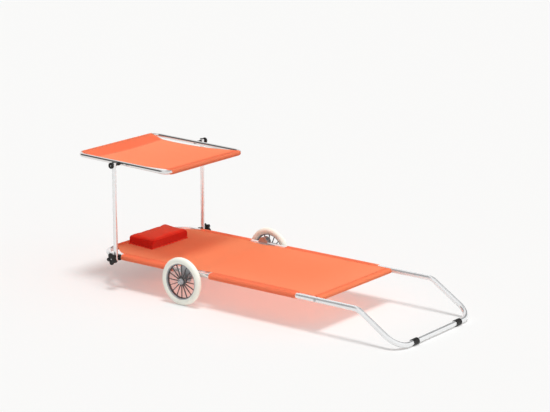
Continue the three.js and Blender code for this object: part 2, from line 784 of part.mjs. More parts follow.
// Canopy posts with their end caps
function posts() {
  const low = rail_height - post_foot;
  const high = upper_pivot_height + post_top;
  const cap_radius = post_radius - post_cap_wall;
  for (const [name, side] of sides) {
    const y = side * post_y;
    const near = y - post_radius;
    const far = y + post_radius;
    const socket_radius = (cap_radius + fit_gap) * bore_growth;
    const socket_depth = post_cap_depth + fit_gap;
    const tube = rodAlongZ(post_pivot_x, y, low, high, post_radius, tube_sides);
    addSolid(`canopy_post_${name}`, cut(tube, [
      holeAlongY(post_pivot_x, rail_height, near, far, lower_bolt_radius),
      holeAlongY(post_pivot_x, upper_pivot_height, near, far, upper_bolt_radius),
      rodAlongZ(post_pivot_x, y, low - cut_overrun, low + socket_depth, socket_radius),
      rodAlongZ(post_pivot_x, y, high - socket_depth, high + cut_overrun, socket_radius),
    ]), 'bright_tube');
    for (const [place, end, out] of [['bottom', low, -1], ['top', high, 1]]) {
      const seat = end + out * fit_gap;
      const face = seat + out * post_cap_height;
      const tip = end - out * post_cap_depth;
      const cap = joined([
        rodAlongZ(post_pivot_x, y, seat, face, post_radius, tube_sides),
        rodAlongZ(post_pivot_x, y, tip, face, cap_radius),
      ]);
      addSolid(`post_cap_${place}_${name}`, cap, 'black_plastic');
    }
  }
}

// A knob with lobes or flutes, on a round collar that bears on the post
function knobSolid(x, z, face, side, size) {
  const outline = [];
  for (let i = 0; i < size.points; i += 1) {
    const angle = 2 * Math.PI * i / size.points;
    const wave = (1 + Math.cos(size.lobes * (angle - size.turn))) / 2;
    const radius = size.valley + (size.radius - size.valley) * wave;
    outline.push(new THREE.Vector2(x + radius * Math.cos(angle), -z - radius * Math.sin(angle)));
  }
  const collar_end = face + side * size.collar;
  const end = collar_end + side * size.thickness;
  const body = slabAlongY(new THREE.Shape(outline), collar_end, end).mirror([0, 0, 1]);
  const collar = rodAlongY(x, z, face, collar_end, size.collar_radius, tube_sides);
  return cut(joined([body, collar]), [holeAlongY(x, z, face, end, size.bolt_radius)]);
}

const star_knob = {
  radius: star_knob_radius,
  valley: star_knob_valley,
  lobes: star_knob_lobes,
  turn: star_knob_turn,
  points: star_knob_points,
  collar_radius: star_knob_collar_radius,
  collar: star_knob_collar,
  thickness: star_knob_thickness,
  bolt_radius: lower_bolt_radius,
};

const round_knob = {
  radius: round_knob_radius,
  valley: round_knob_radius - round_knob_flute,
  lobes: round_knob_flutes,
  turn: 0,
  points: round_knob_points,
  collar_radius: round_knob_collar_radius,
  collar: round_knob_collar,
  thickness: round_knob_thickness,
  bolt_radius: upper_bolt_radius,
};

function knobFace() {
  return post_y + post_radius + fit_gap;
}

// Lower pivots: bolt through the rail, saddle, post and star knob
function lowerPivots() {
  for (const [name, side] of sides) {
    const head_seat = side * (rail_half_width - rail_radius - fit_gap);
    const head_end = head_seat - side * lower_bolt_head_height;
    const knob_end = knobFace() + star_knob_collar + star_knob_thickness;
    const tip = side * (knob_end - lower_bolt_recess);
    const bolt = joined([
      rodAlongY(post_pivot_x, rail_height, head_end, tip, lower_bolt_radius),
      rodAlongY(post_pivot_x, rail_height, head_end, head_seat, lower_bolt_head_radius),
    ]);
    addSolid(`lower_bolt_${name}`, bolt, 'plated_steel');
    const saddle_from = side * (rail_half_width + rail_radius - saddle_wrap);
    const saddle_to = side * (post_y - post_radius - fit_gap);
    const saddle = block(
      new THREE.Vector3(
        post_pivot_x - saddle_length / 2,
        Math.min(saddle_from, saddle_to),
        rail_height - saddle_height / 2,
      ),
      new THREE.Vector3(
        post_pivot_x + saddle_length / 2,
        Math.max(saddle_from, saddle_to),
        rail_height + saddle_height / 2,
      ),
    );
    const x_low = post_pivot_x - saddle_length;
    const x_high = post_pivot_x + saddle_length;
    addSolid(`post_saddle_${name}`, cut(saddle, [
      rodAlongX(side * rail_half_width, rail_height, x_low, x_high, rail_bore_radius, tube_sides),
      holeAlongY(post_pivot_x, rail_height, saddle_from, saddle_to, lower_bolt_radius),
    ]), 'black_plastic');
    const knob = knobSolid(post_pivot_x, rail_height, side * knobFace(), side, star_knob);
    addSolid(`star_knob_${name}`, knob, 'black_plastic');
  }
}

// Upper pivots, drawn about the pivot: bolt through the canopy tube, bush, post and round knob
function upperPivots() {
  const tube_bore = (canopy_tube_radius + fit_gap) / Math.cos(Math.PI / tube_sides);
  for (const [name, side] of sides) {
    const head_seat = side * (canopy_half_width - canopy_tube_radius - fit_gap);
    const head_end = head_seat - side * upper_bolt_head_height;
    const knob_end = knobFace() + round_knob_collar + round_knob_thickness;
    const tip = side * (knob_end - upper_bolt_recess);
    const bolt = joined([
      rodAlongY(0, 0, head_end, tip, upper_bolt_radius),
      rodAlongY(0, 0, head_end, head_seat, upper_bolt_head_radius),
    ]);
    addSolid(`upper_bolt_${name}`, bolt, 'plated_steel', canopy);
    const bush_from = side * (canopy_half_width + canopy_tube_radius - upper_bush_wrap);
    const bush_to = side * (post_y - post_radius - fit_gap);
    const bush = rodAlongY(0, 0, bush_from, bush_to, upper_bush_radius);
    const reach = upper_bush_radius + cut_overrun;
    addSolid(`canopy_bush_${name}`, cut(bush, [
      rodAlongX(side * canopy_half_width, 0, -reach, reach, tube_bore, tube_sides),
      holeAlongY(0, 0, bush_from, bush_to, upper_bolt_radius),
    ]), 'black_plastic', canopy);
    const knob = knobSolid(0, 0, side * knobFace(), side, round_knob);
    addSolid(`round_knob_${name}`, knob, 'black_plastic', canopy);
  }
}

// Canopy frame, drawn about the pivot: one tube bent into a ring, whose ends meet inside the foot side sleeve
function canopyFrame() {
  const corner = (x, y, bend) => ({ at: new THREE.Vector3(x, y, 0), bend });
  const tube = bentTube([
    corner(canopy_foot_reach, -fit_gap / 2, 0),
    corner(canopy_foot_reach, -canopy_half_width, canopy_corner_radius),
    corner(-canopy_head_reach, -canopy_half_width, canopy_corner_radius),
    corner(-canopy_head_reach, canopy_half_width, canopy_corner_radius),
    corner(canopy_foot_reach, canopy_half_width, canopy_corner_radius),
    corner(canopy_foot_reach, fit_gap / 2, 0),
  ], canopy_tube_radius);
  const inner = canopy_half_width - canopy_tube_radius;
  const outer = canopy_half_width + canopy_tube_radius;
  const holes = sides.map(([, side]) => holeAlongY(0, 0, side * inner, side * outer, upper_bolt_radius));
  addSolid('canopy_frame_tube', cut(tube, holes), 'bright_tube', canopy);
}

// A tube of any radius along one end bar of the canopy and round its two corners
function canopyBarTube(bar_x, radius) {
  const corner = (x, y, bend) => ({ at: new THREE.Vector3(x, y, 0), bend });
  return bentTube([
    corner(0, -canopy_half_width, 0),
    corner(bar_x, -canopy_half_width, canopy_corner_radius),
    corner(bar_x, canopy_half_width, canopy_corner_radius),
    corner(0, canopy_half_width, 0),
  ], radius);
}

// Height of the canopy panel's top over the centres of its bars
function canopyTop(x, y) {
  const from_bar = x + canopy_head_reach;
  const edge = (y / canopy_edge_half_width) ** 2;
  const seam = -canopy_seam_depth * (1 - (1 - canopy_seam_edge_share) * edge);
  if (from_bar < canopy_pocket_length) {
    return canopy_sleeve_radius + (seam - canopy_sleeve_radius) * from_bar / canopy_pocket_length;
  }
  const panel_length = canopy_foot_reach + canopy_head_reach - canopy_pocket_length;
  const along = (from_bar - canopy_pocket_length) / panel_length;
  const chord = seam + (canopy_sleeve_radius - seam) * along;
  return chord - 4 * canopy_sag * along * (1 - along);
}

// Canopy fabric, drawn about the pivot: a panel between two sleeves, with free edges that bow in
function canopyFabric() {
  const length = canopy_foot_reach + canopy_head_reach;
  const pocket_share = canopy_pocket_rows / canopy_grid_along;
  const panel = sheet(
    0, 1, canopy_edge_half_width, canopy_fabric_thickness, canopy_grid_along, canopy_grid_across, () => 0,
  );
  const place = panel.attributes.position;
  for (let i = 0; i < place.count; i += 1) {
    const share = place.getX(i);
    const past_pocket = (share - pocket_share) / (1 - pocket_share);
    const from_bar = share < pocket_share
      ? canopy_pocket_length * share / pocket_share
      : canopy_pocket_length + (length - canopy_pocket_length) * past_pocket;
    const along = 2 * from_bar / length - 1;
    const x = from_bar - canopy_head_reach;
    const y = place.getY(i) * (1 - canopy_edge_curve * (1 - along ** 2) / canopy_edge_half_width);
    place.setXYZ(i, x, y, place.getZ(i) + canopyTop(x, y));
  }
  const tube_bore = (canopy_tube_radius + fit_gap) / Math.cos(Math.PI / tube_sides);
  const bars = [-canopy_head_reach, canopy_foot_reach];
  const far_x = length + cut_overrun;
  const sleeves = bars.map((bar_x) => cut(
    canopyBarTube(bar_x, canopy_sleeve_radius),
    sideCutters(-far_x, far_x, canopy_edge_half_width, 0),
  ));
  const bores = bars.map((bar_x) => canopyBarTube(bar_x, tube_bore));
  addSolid('canopy_fabric', cut(joined([solidOf(panel), ...sleeves]), bores), 'orange_fabric', canopy);
}

footFrame();
footGrips();
footHemBar();
headFrame();
hinges();
wheels();
axle();
bedFabric();
pillow();
posts();
lowerPivots();
upperPivots();
canopyFrame();
canopyFabric();

export default lounger;
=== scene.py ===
"""Sun lounger with a canopy: what it looks like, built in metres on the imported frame."""

import json
import logging
from dataclasses import dataclass, field
from enum import Enum, StrEnum
from math import acos, copysign, cos, exp, inf, pi, radians, sin, sqrt
from typing import Any, Callable, Sequence

import bmesh
import bpy
import numpy as np
from mathutils import Matrix, Vector
from mathutils.bvhtree import BVHTree


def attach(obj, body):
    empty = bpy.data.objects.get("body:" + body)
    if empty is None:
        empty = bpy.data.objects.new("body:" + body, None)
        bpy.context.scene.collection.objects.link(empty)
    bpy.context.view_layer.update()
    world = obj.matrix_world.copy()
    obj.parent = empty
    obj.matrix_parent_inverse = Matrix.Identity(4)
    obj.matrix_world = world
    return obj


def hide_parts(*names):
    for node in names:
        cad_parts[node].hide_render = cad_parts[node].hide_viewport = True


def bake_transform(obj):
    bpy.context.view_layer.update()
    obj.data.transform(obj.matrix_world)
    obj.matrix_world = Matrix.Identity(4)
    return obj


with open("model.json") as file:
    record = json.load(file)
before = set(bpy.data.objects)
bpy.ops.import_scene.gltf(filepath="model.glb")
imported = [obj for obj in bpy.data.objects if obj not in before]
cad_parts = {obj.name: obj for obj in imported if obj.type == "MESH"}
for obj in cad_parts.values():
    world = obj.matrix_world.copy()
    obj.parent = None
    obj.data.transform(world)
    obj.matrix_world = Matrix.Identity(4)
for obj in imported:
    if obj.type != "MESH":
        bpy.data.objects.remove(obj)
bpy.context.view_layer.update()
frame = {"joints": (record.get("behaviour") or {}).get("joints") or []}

log = logging.getLogger("lounger")
logging.basicConfig(level=logging.INFO, format="%(message)s")

Point = tuple[float, float, float]
Pair = tuple[float, float]
Face = tuple[int, ...]
Corner = tuple[Point, float]
Crossing = tuple[Point, Point]
Piece = bpy.types.Object
Material = bpy.types.Material
Socket = bpy.types.NodeSocket

FULL_TURN = 2 * pi
HALF_TURN = pi
QUARTER_TURN = pi / 2
SMOOTH_ANGLE = radians(34)
CLOTH_ANGLE = radians(60)
MERGE_DISTANCE = 1e-6
RIM_STEPS = 4
NOISE_RANGE = (0.25, 0.75)
CLOUD_DETAIL = 4.0
GRAIN_DETAIL = 3.0
LINE_DETAIL = 2.0
IMAGE_WIDTH = 550
IMAGE_HEIGHT = 412


class Side(Enum):
    """A side of the lounger, seen from its head end towards its foot end."""

    RIGHT = -1
    LEFT = 1

    @property
    def word(self) -> str:
        """The side's name as the frame's nodes write it."""
        return self.name.lower()

    @property
    def outward(self) -> Matrix:
        """The turn that points +Y away from the lounger on this side."""
        return Matrix.Rotation(HALF_TURN if self is Side.RIGHT else 0.0, 4, "Z")


class Body(StrEnum):
    """The bodies of the frame that pieces ride on, apart from wheels and knobs."""

    FOOT = "foot_section"
    HEAD = "head_section"
    POSTS = "canopy_posts"
    CANOPY = "canopy"


class Slot(StrEnum):
    """The finishes that the record names."""

    TUBE = "bright_tube"
    PLATED = "plated_steel"
    BLACK = "black_plastic"
    RIM = "rim_plastic"
    TYRE = "pale_tyre"
    ORANGE = "orange_fabric"
    RED = "red_fabric"


class Extra(StrEnum):
    """The finishes that only the scene has."""

    POLISHED = "polished_tube"
    SPOKES = "rim_spokes"
    THREAD = "orange_thread"


# Wiring of node trees


class Wiring:
    """A node tree while its nodes are added and linked."""

    def __init__(self, tree: bpy.types.NodeTree) -> None:
        """Keeps the tree that the nodes go into."""
        self.tree = tree

    def feed(self, node: bpy.types.Node, socket: str | int, source: Any) -> None:
        """Links an output to a node's input, or sets the input's value.

        Args:
            node: The node that takes the input.
            socket: The input's name or number.
            source: An output socket, or a plain value.
        """
        target = node.inputs[socket]
        if isinstance(source, Socket):
            self.tree.links.new(source, target)
        else:
            target.default_value = source

    def add(self, kind: str, feeds: dict[str | int, Any] | None = None, **settings: Any) -> bpy.types.Node:
        """Adds a node.

        Args:
            kind: The node's type name.
            feeds: What each input takes.
            settings: The node's own properties, which are set before its inputs.

        Returns:
            The new node.
        """
        node = self.tree.nodes.new(kind)
        for name, value in settings.items():
            setattr(node, name, value)
        for socket, source in (feeds or {}).items():
            self.feed(node, socket, source)
        return node

    def math(self, operation: str, first: Any, second: Any = 0.0, third: Any = 0.0) -> Socket:
        """The result of a Math node with up to three inputs."""
        return self.add("ShaderNodeMath", {0: first, 1: second, 2: third}, operation=operation).outputs[0]

    def remap(self, value: Socket, source: Pair, result: Pair) -> Socket:
        """A value taken from one range to another, and held within it."""
        ends = {"From Min": source[0], "From Max": source[1], "To Min": result[0], "To Max": result[1]}
        return self.add("ShaderNodeMapRange", {"Value": value, **ends}).outputs[0]


class Recipe(Wiring):
    """A Geometry Nodes tree with named inputs."""

    def __init__(self, name: str, inputs: dict[str, str]) -> None:
        """Makes the tree with its geometry sockets and its named inputs.

        Args:
            name: The tree's name.
            inputs: The socket type of each named input.
        """
        super().__init__(bpy.data.node_groups.new(name, "GeometryNodeTree"))
        interface = self.tree.interface
        interface.new_socket("Geometry", in_out="OUTPUT", socket_type="NodeSocketGeometry")
        interface.new_socket("Geometry", in_out="INPUT", socket_type="NodeSocketGeometry")
        for title, kind in inputs.items():
            interface.new_socket(title, in_out="INPUT", socket_type=kind)
        interface.new_socket("Material", in_out="INPUT", socket_type="NodeSocketMaterial")
        self.given = self.add("NodeGroupInput").outputs

    def named(self, name: str, kind: str = "FLOAT_VECTOR") -> Socket:
        """The value of a named attribute on each point."""
        return self.add("GeometryNodeInputNamedAttribute", {0: name}, data_type=kind).outputs[0]

    def close(self, geometry: Socket) -> None:
        """Ends the tree in Realize Instances and Set Material.

        Args:
            geometry: What the tree has made.
        """
        real = self.add("GeometryNodeRealizeInstances", {0: geometry})
        feeds = {"Geometry": real.outputs[0], "Material": self.given["Material"]}
        dressed = self.add("GeometryNodeSetMaterial", feeds)
        self.add("NodeGroupOutput", {0: dressed.outputs[0]})

    def apply(self, obj: Piece, values: dict[str, Any]) -> Piece:
        """Runs the tree on an object and keeps the result as its plain mesh.

        Args:
            obj: The object that the tree starts from.
            values: The value of each named input.

        Returns:
            The same object with its new mesh.
        """
        modifier = obj.modifiers.new(self.tree.name, "NODES")
        modifier.node_group = self.tree
        for item in self.tree.interface.items_tree:
            if item.in_out == "INPUT" and item.name in values:
                modifier[item.identifier] = values[item.name]
        return settle(obj)


# Mesh tools


def round_angles(count: int) -> list[float]:
    """Even angles round a full turn."""
    return [FULL_TURN * i / count for i in range(count)]


def quarter_angles(steps: int) -> list[float]:
    """Even angles over a quarter turn, with both its ends."""
    return [QUARTER_TURN * i / steps for i in range(steps + 1)]


def round_point(reach: float, angle: float, along: float) -> Point:
    """A point at a distance and an angle from the Y axis."""
    return (reach * cos(angle), along, reach * sin(angle))


def mirrored(half: Sequence[Pair], *middle: Pair) -> list[Pair]:
    """Half a profile, what lies in its middle, and its mirror image, in one run."""
    return [*half, *middle, *((radius, -along) for radius, along in reversed(half))]


def squared_off(value: float, power: float) -> float:
    """A value from -1 to 1 raised to a power, with its sign kept."""
    return copysign(abs(value) ** power, value)


def spaced(start: float, end: float, pitch: float) -> list[float]:
    """Even places about a pitch apart, from one value to another, with neither end left out."""
    count = max(1, round(abs(end - start) / pitch))
    return [start + (end - start) * i / count for i in range(count + 1)]


def link_mesh(name: str, mesh: bpy.types.Mesh) -> Piece:
    """Puts a mesh into the scene as an object at the origin."""
    obj = bpy.data.objects.new(name, mesh)
    bpy.context.scene.collection.objects.link(obj)
    return obj


def add_object(
    name: str, points: Sequence[Point | Vector], faces: Sequence[Face] = (), edges: Sequence[Face] = ()
) -> Piece:
    """Makes a mesh object at the origin.

    Args:
        name: The object's name.
        points: Its points in metres.
        faces: Its faces as point numbers.
        edges: Its loose edges as point numbers.

    Returns:
        The new object.
    """
    mesh = bpy.data.meshes.new(name)
    mesh.from_pydata([tuple(point) for point in points], edges, faces)
    mesh.validate()
    return link_mesh(name, mesh)


def mark_points(obj: Piece, name: str, values: Sequence[Sequence[float]]) -> None:
    """Stores three numbers on each point of an object's mesh."""
    marks = obj.data.attributes.new(name, "FLOAT_VECTOR", "POINT")
    marks.data.foreach_set("vector", np.asarray(values, dtype=float).ravel())


def points_of(obj: Piece) -> np.ndarray:
    """The points of an object's mesh, as one row of three numbers for each."""
    place = np.zeros(len(obj.data.vertices) * 3)
    obj.data.vertices.foreach_get("co", place)
    return place.reshape(-1, 3)


def settle(obj: Piece) -> Piece:
    """Applies all modifiers of an object and removes them.

    Args:
        obj: The object.

    Returns:
        The same object with a plain mesh.
    """
    bpy.context.view_layer.update()
    depsgraph = bpy.context.evaluated_depsgraph_get()
    evaluated = obj.evaluated_get(depsgraph)
    mesh = bpy.data.meshes.new_from_object(evaluated, preserve_all_data_layers=True, depsgraph=depsgraph)
    obj.modifiers.clear()
    old = obj.data
    obj.data = mesh
    bpy.data.meshes.remove(old)
    return obj


def shade(obj: Piece, angle: float = SMOOTH_ANGLE) -> Piece:
    """Shades an object smooth, apart from edges sharper than an angle, and hands it back."""
    obj.data.shade_smooth()
    obj.data.set_sharp_from_angle(angle=angle)
    return obj


def clean(obj: Piece) -> Piece:
    """Merges doubled points and points all faces outwards.

    Args:
        obj: An object with closed shells.

    Returns:
        The same object.
    """
    work = bmesh.new()
    work.from_mesh(obj.data)
    bmesh.ops.remove_doubles(work, verts=work.verts, dist=MERGE_DISTANCE)
    bmesh.ops.dissolve_degenerate(work, dist=MERGE_DISTANCE, edges=work.edges)
    bmesh.ops.recalc_face_normals(work, faces=work.faces)
    work.to_mesh(obj.data)
    work.free()
    return obj


def band_faces(rows: int, columns: int, close_rows: bool = True, close_columns: bool = True) -> list[Face]:
    """The faces between rows of points that are numbered row by row.

    Args:
        rows: Number of rows.
        columns: Points in each row.
        close_rows: Whether the last row joins the first.
        close_columns: Whether the last point of a row joins its first.

    Returns:
        The faces as point numbers.
    """
    faces = []
    for row in range(rows if close_rows else rows - 1):
        here = row * columns
        there = (row + 1) % rows * columns
        for k in range(columns if close_columns else columns - 1):
            after = (k + 1) % columns
            faces.append((here + k, here + after, there + after, there + k))
    return faces


def lathe(name: str, profile: Sequence[Pair], segments: int, closed: bool = False) -> Piece:
    """Turns a profile about the Y axis.

    Args:
        name: The object's name.
        profile: Pairs of radius and place along the axis.
        segments: Facets round the axis.
        closed: True for a ring, whose last point joins its first.

    Returns:
        The turned solid, about the origin.
    """
    angles = round_angles(segments)
    points = [round_point(radius, angle, along) for angle in angles for radius, along in profile]
    return clean(add_object(name, points, band_faces(segments, len(profile), close_columns=closed)))


def loft(name: str, rings: Sequence[Sequence[Point]]) -> Piece:
    """Joins rings of equal length into a closed solid with flat ends.

    Args:
        name: The object's name.
        rings: The rings, each a closed loop of points.

    Returns:
        The closed solid.
    """
    count = len(rings[0])
    points = [point for ring in rings for point in ring]
    ends = [tuple(range(count)), tuple(range(len(points) - count, len(points)))]
    return clean(add_object(name, points, band_faces(len(rings), count, close_rows=False) + ends))


def move(obj: Piece, offset: Point, turn: Matrix = Matrix()) -> Piece:
    """Turns an object's mesh about the origin, then shifts it, and hands the object back."""
    obj.data.transform(Matrix.Translation(offset) @ turn)
    return obj


def join(name: str, parts: Sequence[Piece]) -> Piece:
    """Joins objects into one mesh that keeps their materials.

    Args:
        name: The new object's name.
        parts: The objects, which are used up.

    Returns:
        The joined object.
    """
    work = bmesh.new()
    materials: list[Material] = []
    for part in parts:
        start = len(work.faces)
        work.from_mesh(part.data)
        work.faces.ensure_lookup_table()
        slots = list(part.data.materials)
        materials.extend(material for material in slots if material not in materials)
        for face in work.faces[start:]:
            if slots:
                face.material_index = materials.index(slots[face.material_index])
    mesh = bpy.data.meshes.new(name)
    for material in materials:
        mesh.materials.append(material)
    work.to_mesh(mesh)
    work.free()
    for part in parts:
        bpy.data.objects.remove(part)
    return link_mesh(name, mesh)


def cut_by(obj: Piece, cutter: Piece) -> Piece:
    """Cuts one solid by another, which is used up.

    Args:
        obj: The solid that is cut.
        cutter: The solid that cuts.

    Returns:
        The cut solid.
    """
    modifier = obj.modifiers.new("cut", "BOOLEAN")
    modifier.operation = "DIFFERENCE"
    modifier.solver = "EXACT"
    modifier.object = cutter
    settle(obj)
    bpy.data.objects.remove(cutter)
    return obj


def seat_on_tube(obj: Piece, y: float, radius: float, reach: float) -> Piece:
    """Cuts a round seat along X into a piece, for the tube that it bears on.

    Args:
        obj: The piece, drawn about the tube's height.
        y: The tube's place across the lounger.
        radius: The seat's radius.
        reach: Half the length of the cut.

    Returns:
        The same piece with its seat.
    """
    profile = [(0.0, -reach), (radius, -reach), (radius, reach), (0.0, reach)]
    cutter = lathe("cutter", profile, 64)
    move(cutter, (0.0, y, 0.0), Matrix.Rotation(QUARTER_TURN, 4, "Z"))
    return cut_by(obj, cutter)


def rounded_ends(radius: float, start: float, end: float, bevel: float) -> list[Pair]:
    """The profile of a solid rod with rounded rims, for lathe.

    Args:
        radius: The rod's radius.
        start: Where it starts along its axis.
        end: Where it ends.
        bevel: The radius of its rims.

    Returns:
        The profile from axis to axis.
    """
    profile = [(0.0, start)]
    for angle in quarter_angles(RIM_STEPS):
        profile.append((radius - bevel + bevel * sin(angle), start + bevel - bevel * cos(angle)))
    for angle in quarter_angles(RIM_STEPS):
        profile.append((radius - bevel + bevel * cos(angle), end - bevel + bevel * sin(angle)))
    return [*profile, (0.0, end)]


def paint(obj: Piece, material: Material) -> Piece:
    """Gives an object one material, and hands it back."""
    obj.data.materials.clear()
    obj.data.materials.append(material)
    return obj


def install(obj: Piece, body: str, slot: Slot, *nodes: str) -> Piece:
    """Makes a finished piece part of the lounger and reports it.

    Args:
        obj: The piece.
        body: The frame's body that it rides on.
        slot: The record's finish, which is not used here.
        nodes: The frame's nodes that it stands for.

    Returns:
        The same piece.
    """
    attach(obj, str(body))
    if nodes:
        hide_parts(*nodes)
    report(obj, f"rides on {body}")
    return obj


def report(obj: Piece, what: str) -> None:
    """Logs a finished piece with its triangles."""
    obj.data.calc_loop_triangles()
    log.info("%s %s, %d triangles", obj.name, what, len(obj.data.loop_triangles))


# Shared sizes


@dataclass(frozen=True)
class Plan:
    """Sizes and places that several sub-assemblies share, in metres."""

    hinge_x: float
    rail_height: float
    axle_height: float
    wheel_y: float
    post_x: float
    canopy_height: float
    rail_radius: float = 0.0125
    rail_half_width: float = 0.3
    post_radius: float = 0.0105
    post_y: float = 0.33
    fit: float = 0.0003

    @classmethod
    def from_joints(cls, joints: Sequence[dict[str, Any]]) -> "Plan":
        """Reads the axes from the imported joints.

        Args:
            joints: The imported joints.

        Returns:
            The plan.
        """
        place = {joint["name"]: joint["pos_m"] for joint in joints}
        hinge_x, _, rail_height = place["head_fold"]
        _, wheel_y, axle_height = place["left_wheel_spin"]
        post_x, canopy_height = place["post_swing"][0], place["canopy_tilt"][2]
        return cls(hinge_x, rail_height, axle_height, wheel_y, post_x, canopy_height)

    @property
    def knob_face(self) -> float:
        """Distance from the middle plane to where a knob bears on its post."""
        return self.post_y + self.post_radius + self.fit

    @property
    def post_face(self) -> float:
        """Distance from the middle plane to what bears on a post from inside."""
        return self.post_y - self.post_radius - self.fit

    def both_rails(self, right: Sequence[Point]) -> list[Corner]:
        """A frame's corners and bends on both sides, from the right ones' distances, heights and bends."""
        ways = [(-self.rail_half_width, right), (self.rail_half_width, right[::-1])]
        return [((self.hinge_x + x, y, z), bend) for y, corners in ways for x, z, bend in corners]


# Finishes


class Shader(Wiring):
    """A material with one Principled shader."""

    def __init__(self, name: str, values: dict[str, Any]) -> None:
        """Makes the material and sets the shader's plain values.

        Args:
            name: The material's name.
            values: The values of the Principled shader's sockets.
        """
        self.material = bpy.data.materials.new(str(name))
        self.material.use_nodes = True
        super().__init__(self.material.node_tree)
        self.tree.nodes.clear()
        self.surface = self.add("ShaderNodeBsdfPrincipled", values)
        self.output = self.add("ShaderNodeOutputMaterial", {"Surface": self.surface.outputs[0]})

    def place(self, scale: Point = (1.0, 1.0, 1.0), attribute: str = "") -> Socket:
        """Coordinates for a pattern, from a mesh attribute or else the object's own, scaled on each axis."""
        if attribute:
            source = self.add("ShaderNodeAttribute", attribute_name=attribute).outputs["Vector"]
        else:
            source = self.add("ShaderNodeTexCoord").outputs["Object"]
        return self.add("ShaderNodeMapping", {"Vector": source, "Scale": scale}).outputs[0]

    def noise(self, place: Socket, scale: float, detail: float) -> Socket:
        """The value of a noise texture, which lies about one half."""
        return self.add("ShaderNodeTexNoise", {"Vector": place, "Scale": scale, "Detail": detail}).outputs[0]

    def between(self, value: Socket, low: float, high: float) -> Socket:
        """A noise value spread over a range."""
        return self.remap(value, NOISE_RANGE, (low, high))

    def blend(self, first: Socket, second: Socket, part: float) -> Socket:
        """Two values mixed, with the first one's part."""
        return self.math("MULTIPLY_ADD", first, part, self.math("MULTIPLY", second, 1 - part))

    def tint(self, share: Socket, low: Any, high: Point, blend: str = "MIX") -> Socket:
        """A colour between two colours, or one multiplied by the other.

        Args:
            share: How much of the second colour is taken, from 0 to 1.
            low: The first colour, as numbers or as a socket.
            high: The second colour.
            blend: How the second one acts on the first.

        Returns:
            The mixed colour.
        """
        first = low if isinstance(low, Socket) else (*low, 1.0)
        feeds = {0: share, 6: first, 7: (*high, 1.0)}
        return self.add("ShaderNodeMix", feeds, data_type="RGBA", blend_type=blend).outputs[2]

    def wear(self, colour: Socket, roughness: Socket) -> None:
        """Gives the shader its colour and its roughness."""
        self.feed(self.surface, "Base Color", colour)
        self.feed(self.surface, "Roughness", roughness)

    def bump(self, height: Socket, strength: float, distance: float, normal: Socket | None = None) -> Socket:
        """Gives the shader a bumped normal.

        Args:
            height: The height pattern.
            strength: The bump's strength.
            distance: The height of the pattern in metres.
            normal: The normal that the bump goes over, or nothing for the plain one.

        Returns:
            The bumped normal.
        """
        bump = self.add("ShaderNodeBump", {"Strength": strength, "Distance": distance, "Height": height})
        if normal is not None:
            self.feed(bump, "Normal", normal)
        self.feed(self.surface, "Normal", bump.outputs[0])
        return bump.outputs[0]


@dataclass(frozen=True)
class BrightTube:
    """Polished drawn tube: fine lines along its length and soft patches of wear."""

    name: str = Slot.TUBE
    colour: Point = (0.9, 0.905, 0.91)
    metallic: float = 0.62
    smooth: float = 0.13
    dull: float = 0.24
    worn_part: float = 0.93
    lines: Point = (6.0, 900.0, 900.0)
    line_part: float = 0.45
    line_strength: float = 0.12
    line_height: float = 0.0002
    patch_scale: float = 14.0

    def build(self) -> Material:
        """Makes the material."""
        shader = Shader(self.name, {"Metallic": self.metallic, "Base Color": (*self.colour, 1.0)})
        drawn = shader.noise(shader.place(self.lines, "straight"), 1.0, LINE_DETAIL)
        patches = shader.noise(shader.place(), self.patch_scale, CLOUD_DETAIL)
        darker = tuple(self.worn_part * part for part in self.colour)
        roughness = shader.between(shader.blend(drawn, patches, self.line_part), self.smooth, self.dull)
        shader.wear(shader.tint(patches, darker, self.colour), roughness)
        shader.bump(drawn, self.line_strength, self.line_height)
        return shader.material


@dataclass(frozen=True)
class Grained:
    """Plated steel or moulded plastic: patches of a second colour and gloss under a fine grain."""

    name: str
    colour: Point
    other: Point
    roughness: Pair = (0.34, 0.52)
    gloss: float = 0.45
    metallic: float = 0.0
    patch_scale: float = 60.0
    grain_scale: float = 1400.0
    grain_strength: float = 0.25
    grain_height: float = 0.0002

    def build(self) -> Material:
        """Makes the material."""
        shader = Shader(self.name, {"Specular IOR Level": self.gloss, "Metallic": self.metallic})
        place = shader.place()
        patches = shader.noise(place, self.patch_scale, CLOUD_DETAIL)
        shader.wear(shader.tint(patches, self.colour, self.other), shader.between(patches, *self.roughness))
        grain = shader.noise(place, self.grain_scale, LINE_DETAIL)
        shader.bump(grain, self.grain_strength, self.grain_height)
        return shader.material


@dataclass(frozen=True)
class PaleTyre:
    """Pale moulded tyre, a little yellowed and scuffed."""

    name: str = Slot.TYRE
    colour: Point = (0.95, 0.965, 0.875)
    yellowed: Point = (0.9, 0.905, 0.79)
    yellowed_share: float = 0.55
    gloss: float = 0.35
    roughness: Pair = (0.5, 0.68)
    patch_scale: float = 22.0
    patch_detail: float = 5.0
    grain_scale: float = 700.0
    grain_strength: float = 0.2
    grain_height: float = 0.0003

    def build(self) -> Material:
        """Makes the material."""
        shader = Shader(self.name, {"Specular IOR Level": self.gloss})
        place = shader.place()
        patches = shader.noise(place, self.patch_scale, self.patch_detail)
        share = shader.between(patches, 0.0, self.yellowed_share)
        grain = shader.noise(place, self.grain_scale, GRAIN_DETAIL)
        shader.wear(shader.tint(share, self.colour, self.yellowed), shader.between(grain, *self.roughness))
        shader.bump(grain, self.grain_strength, self.grain_height)
        return shader.material


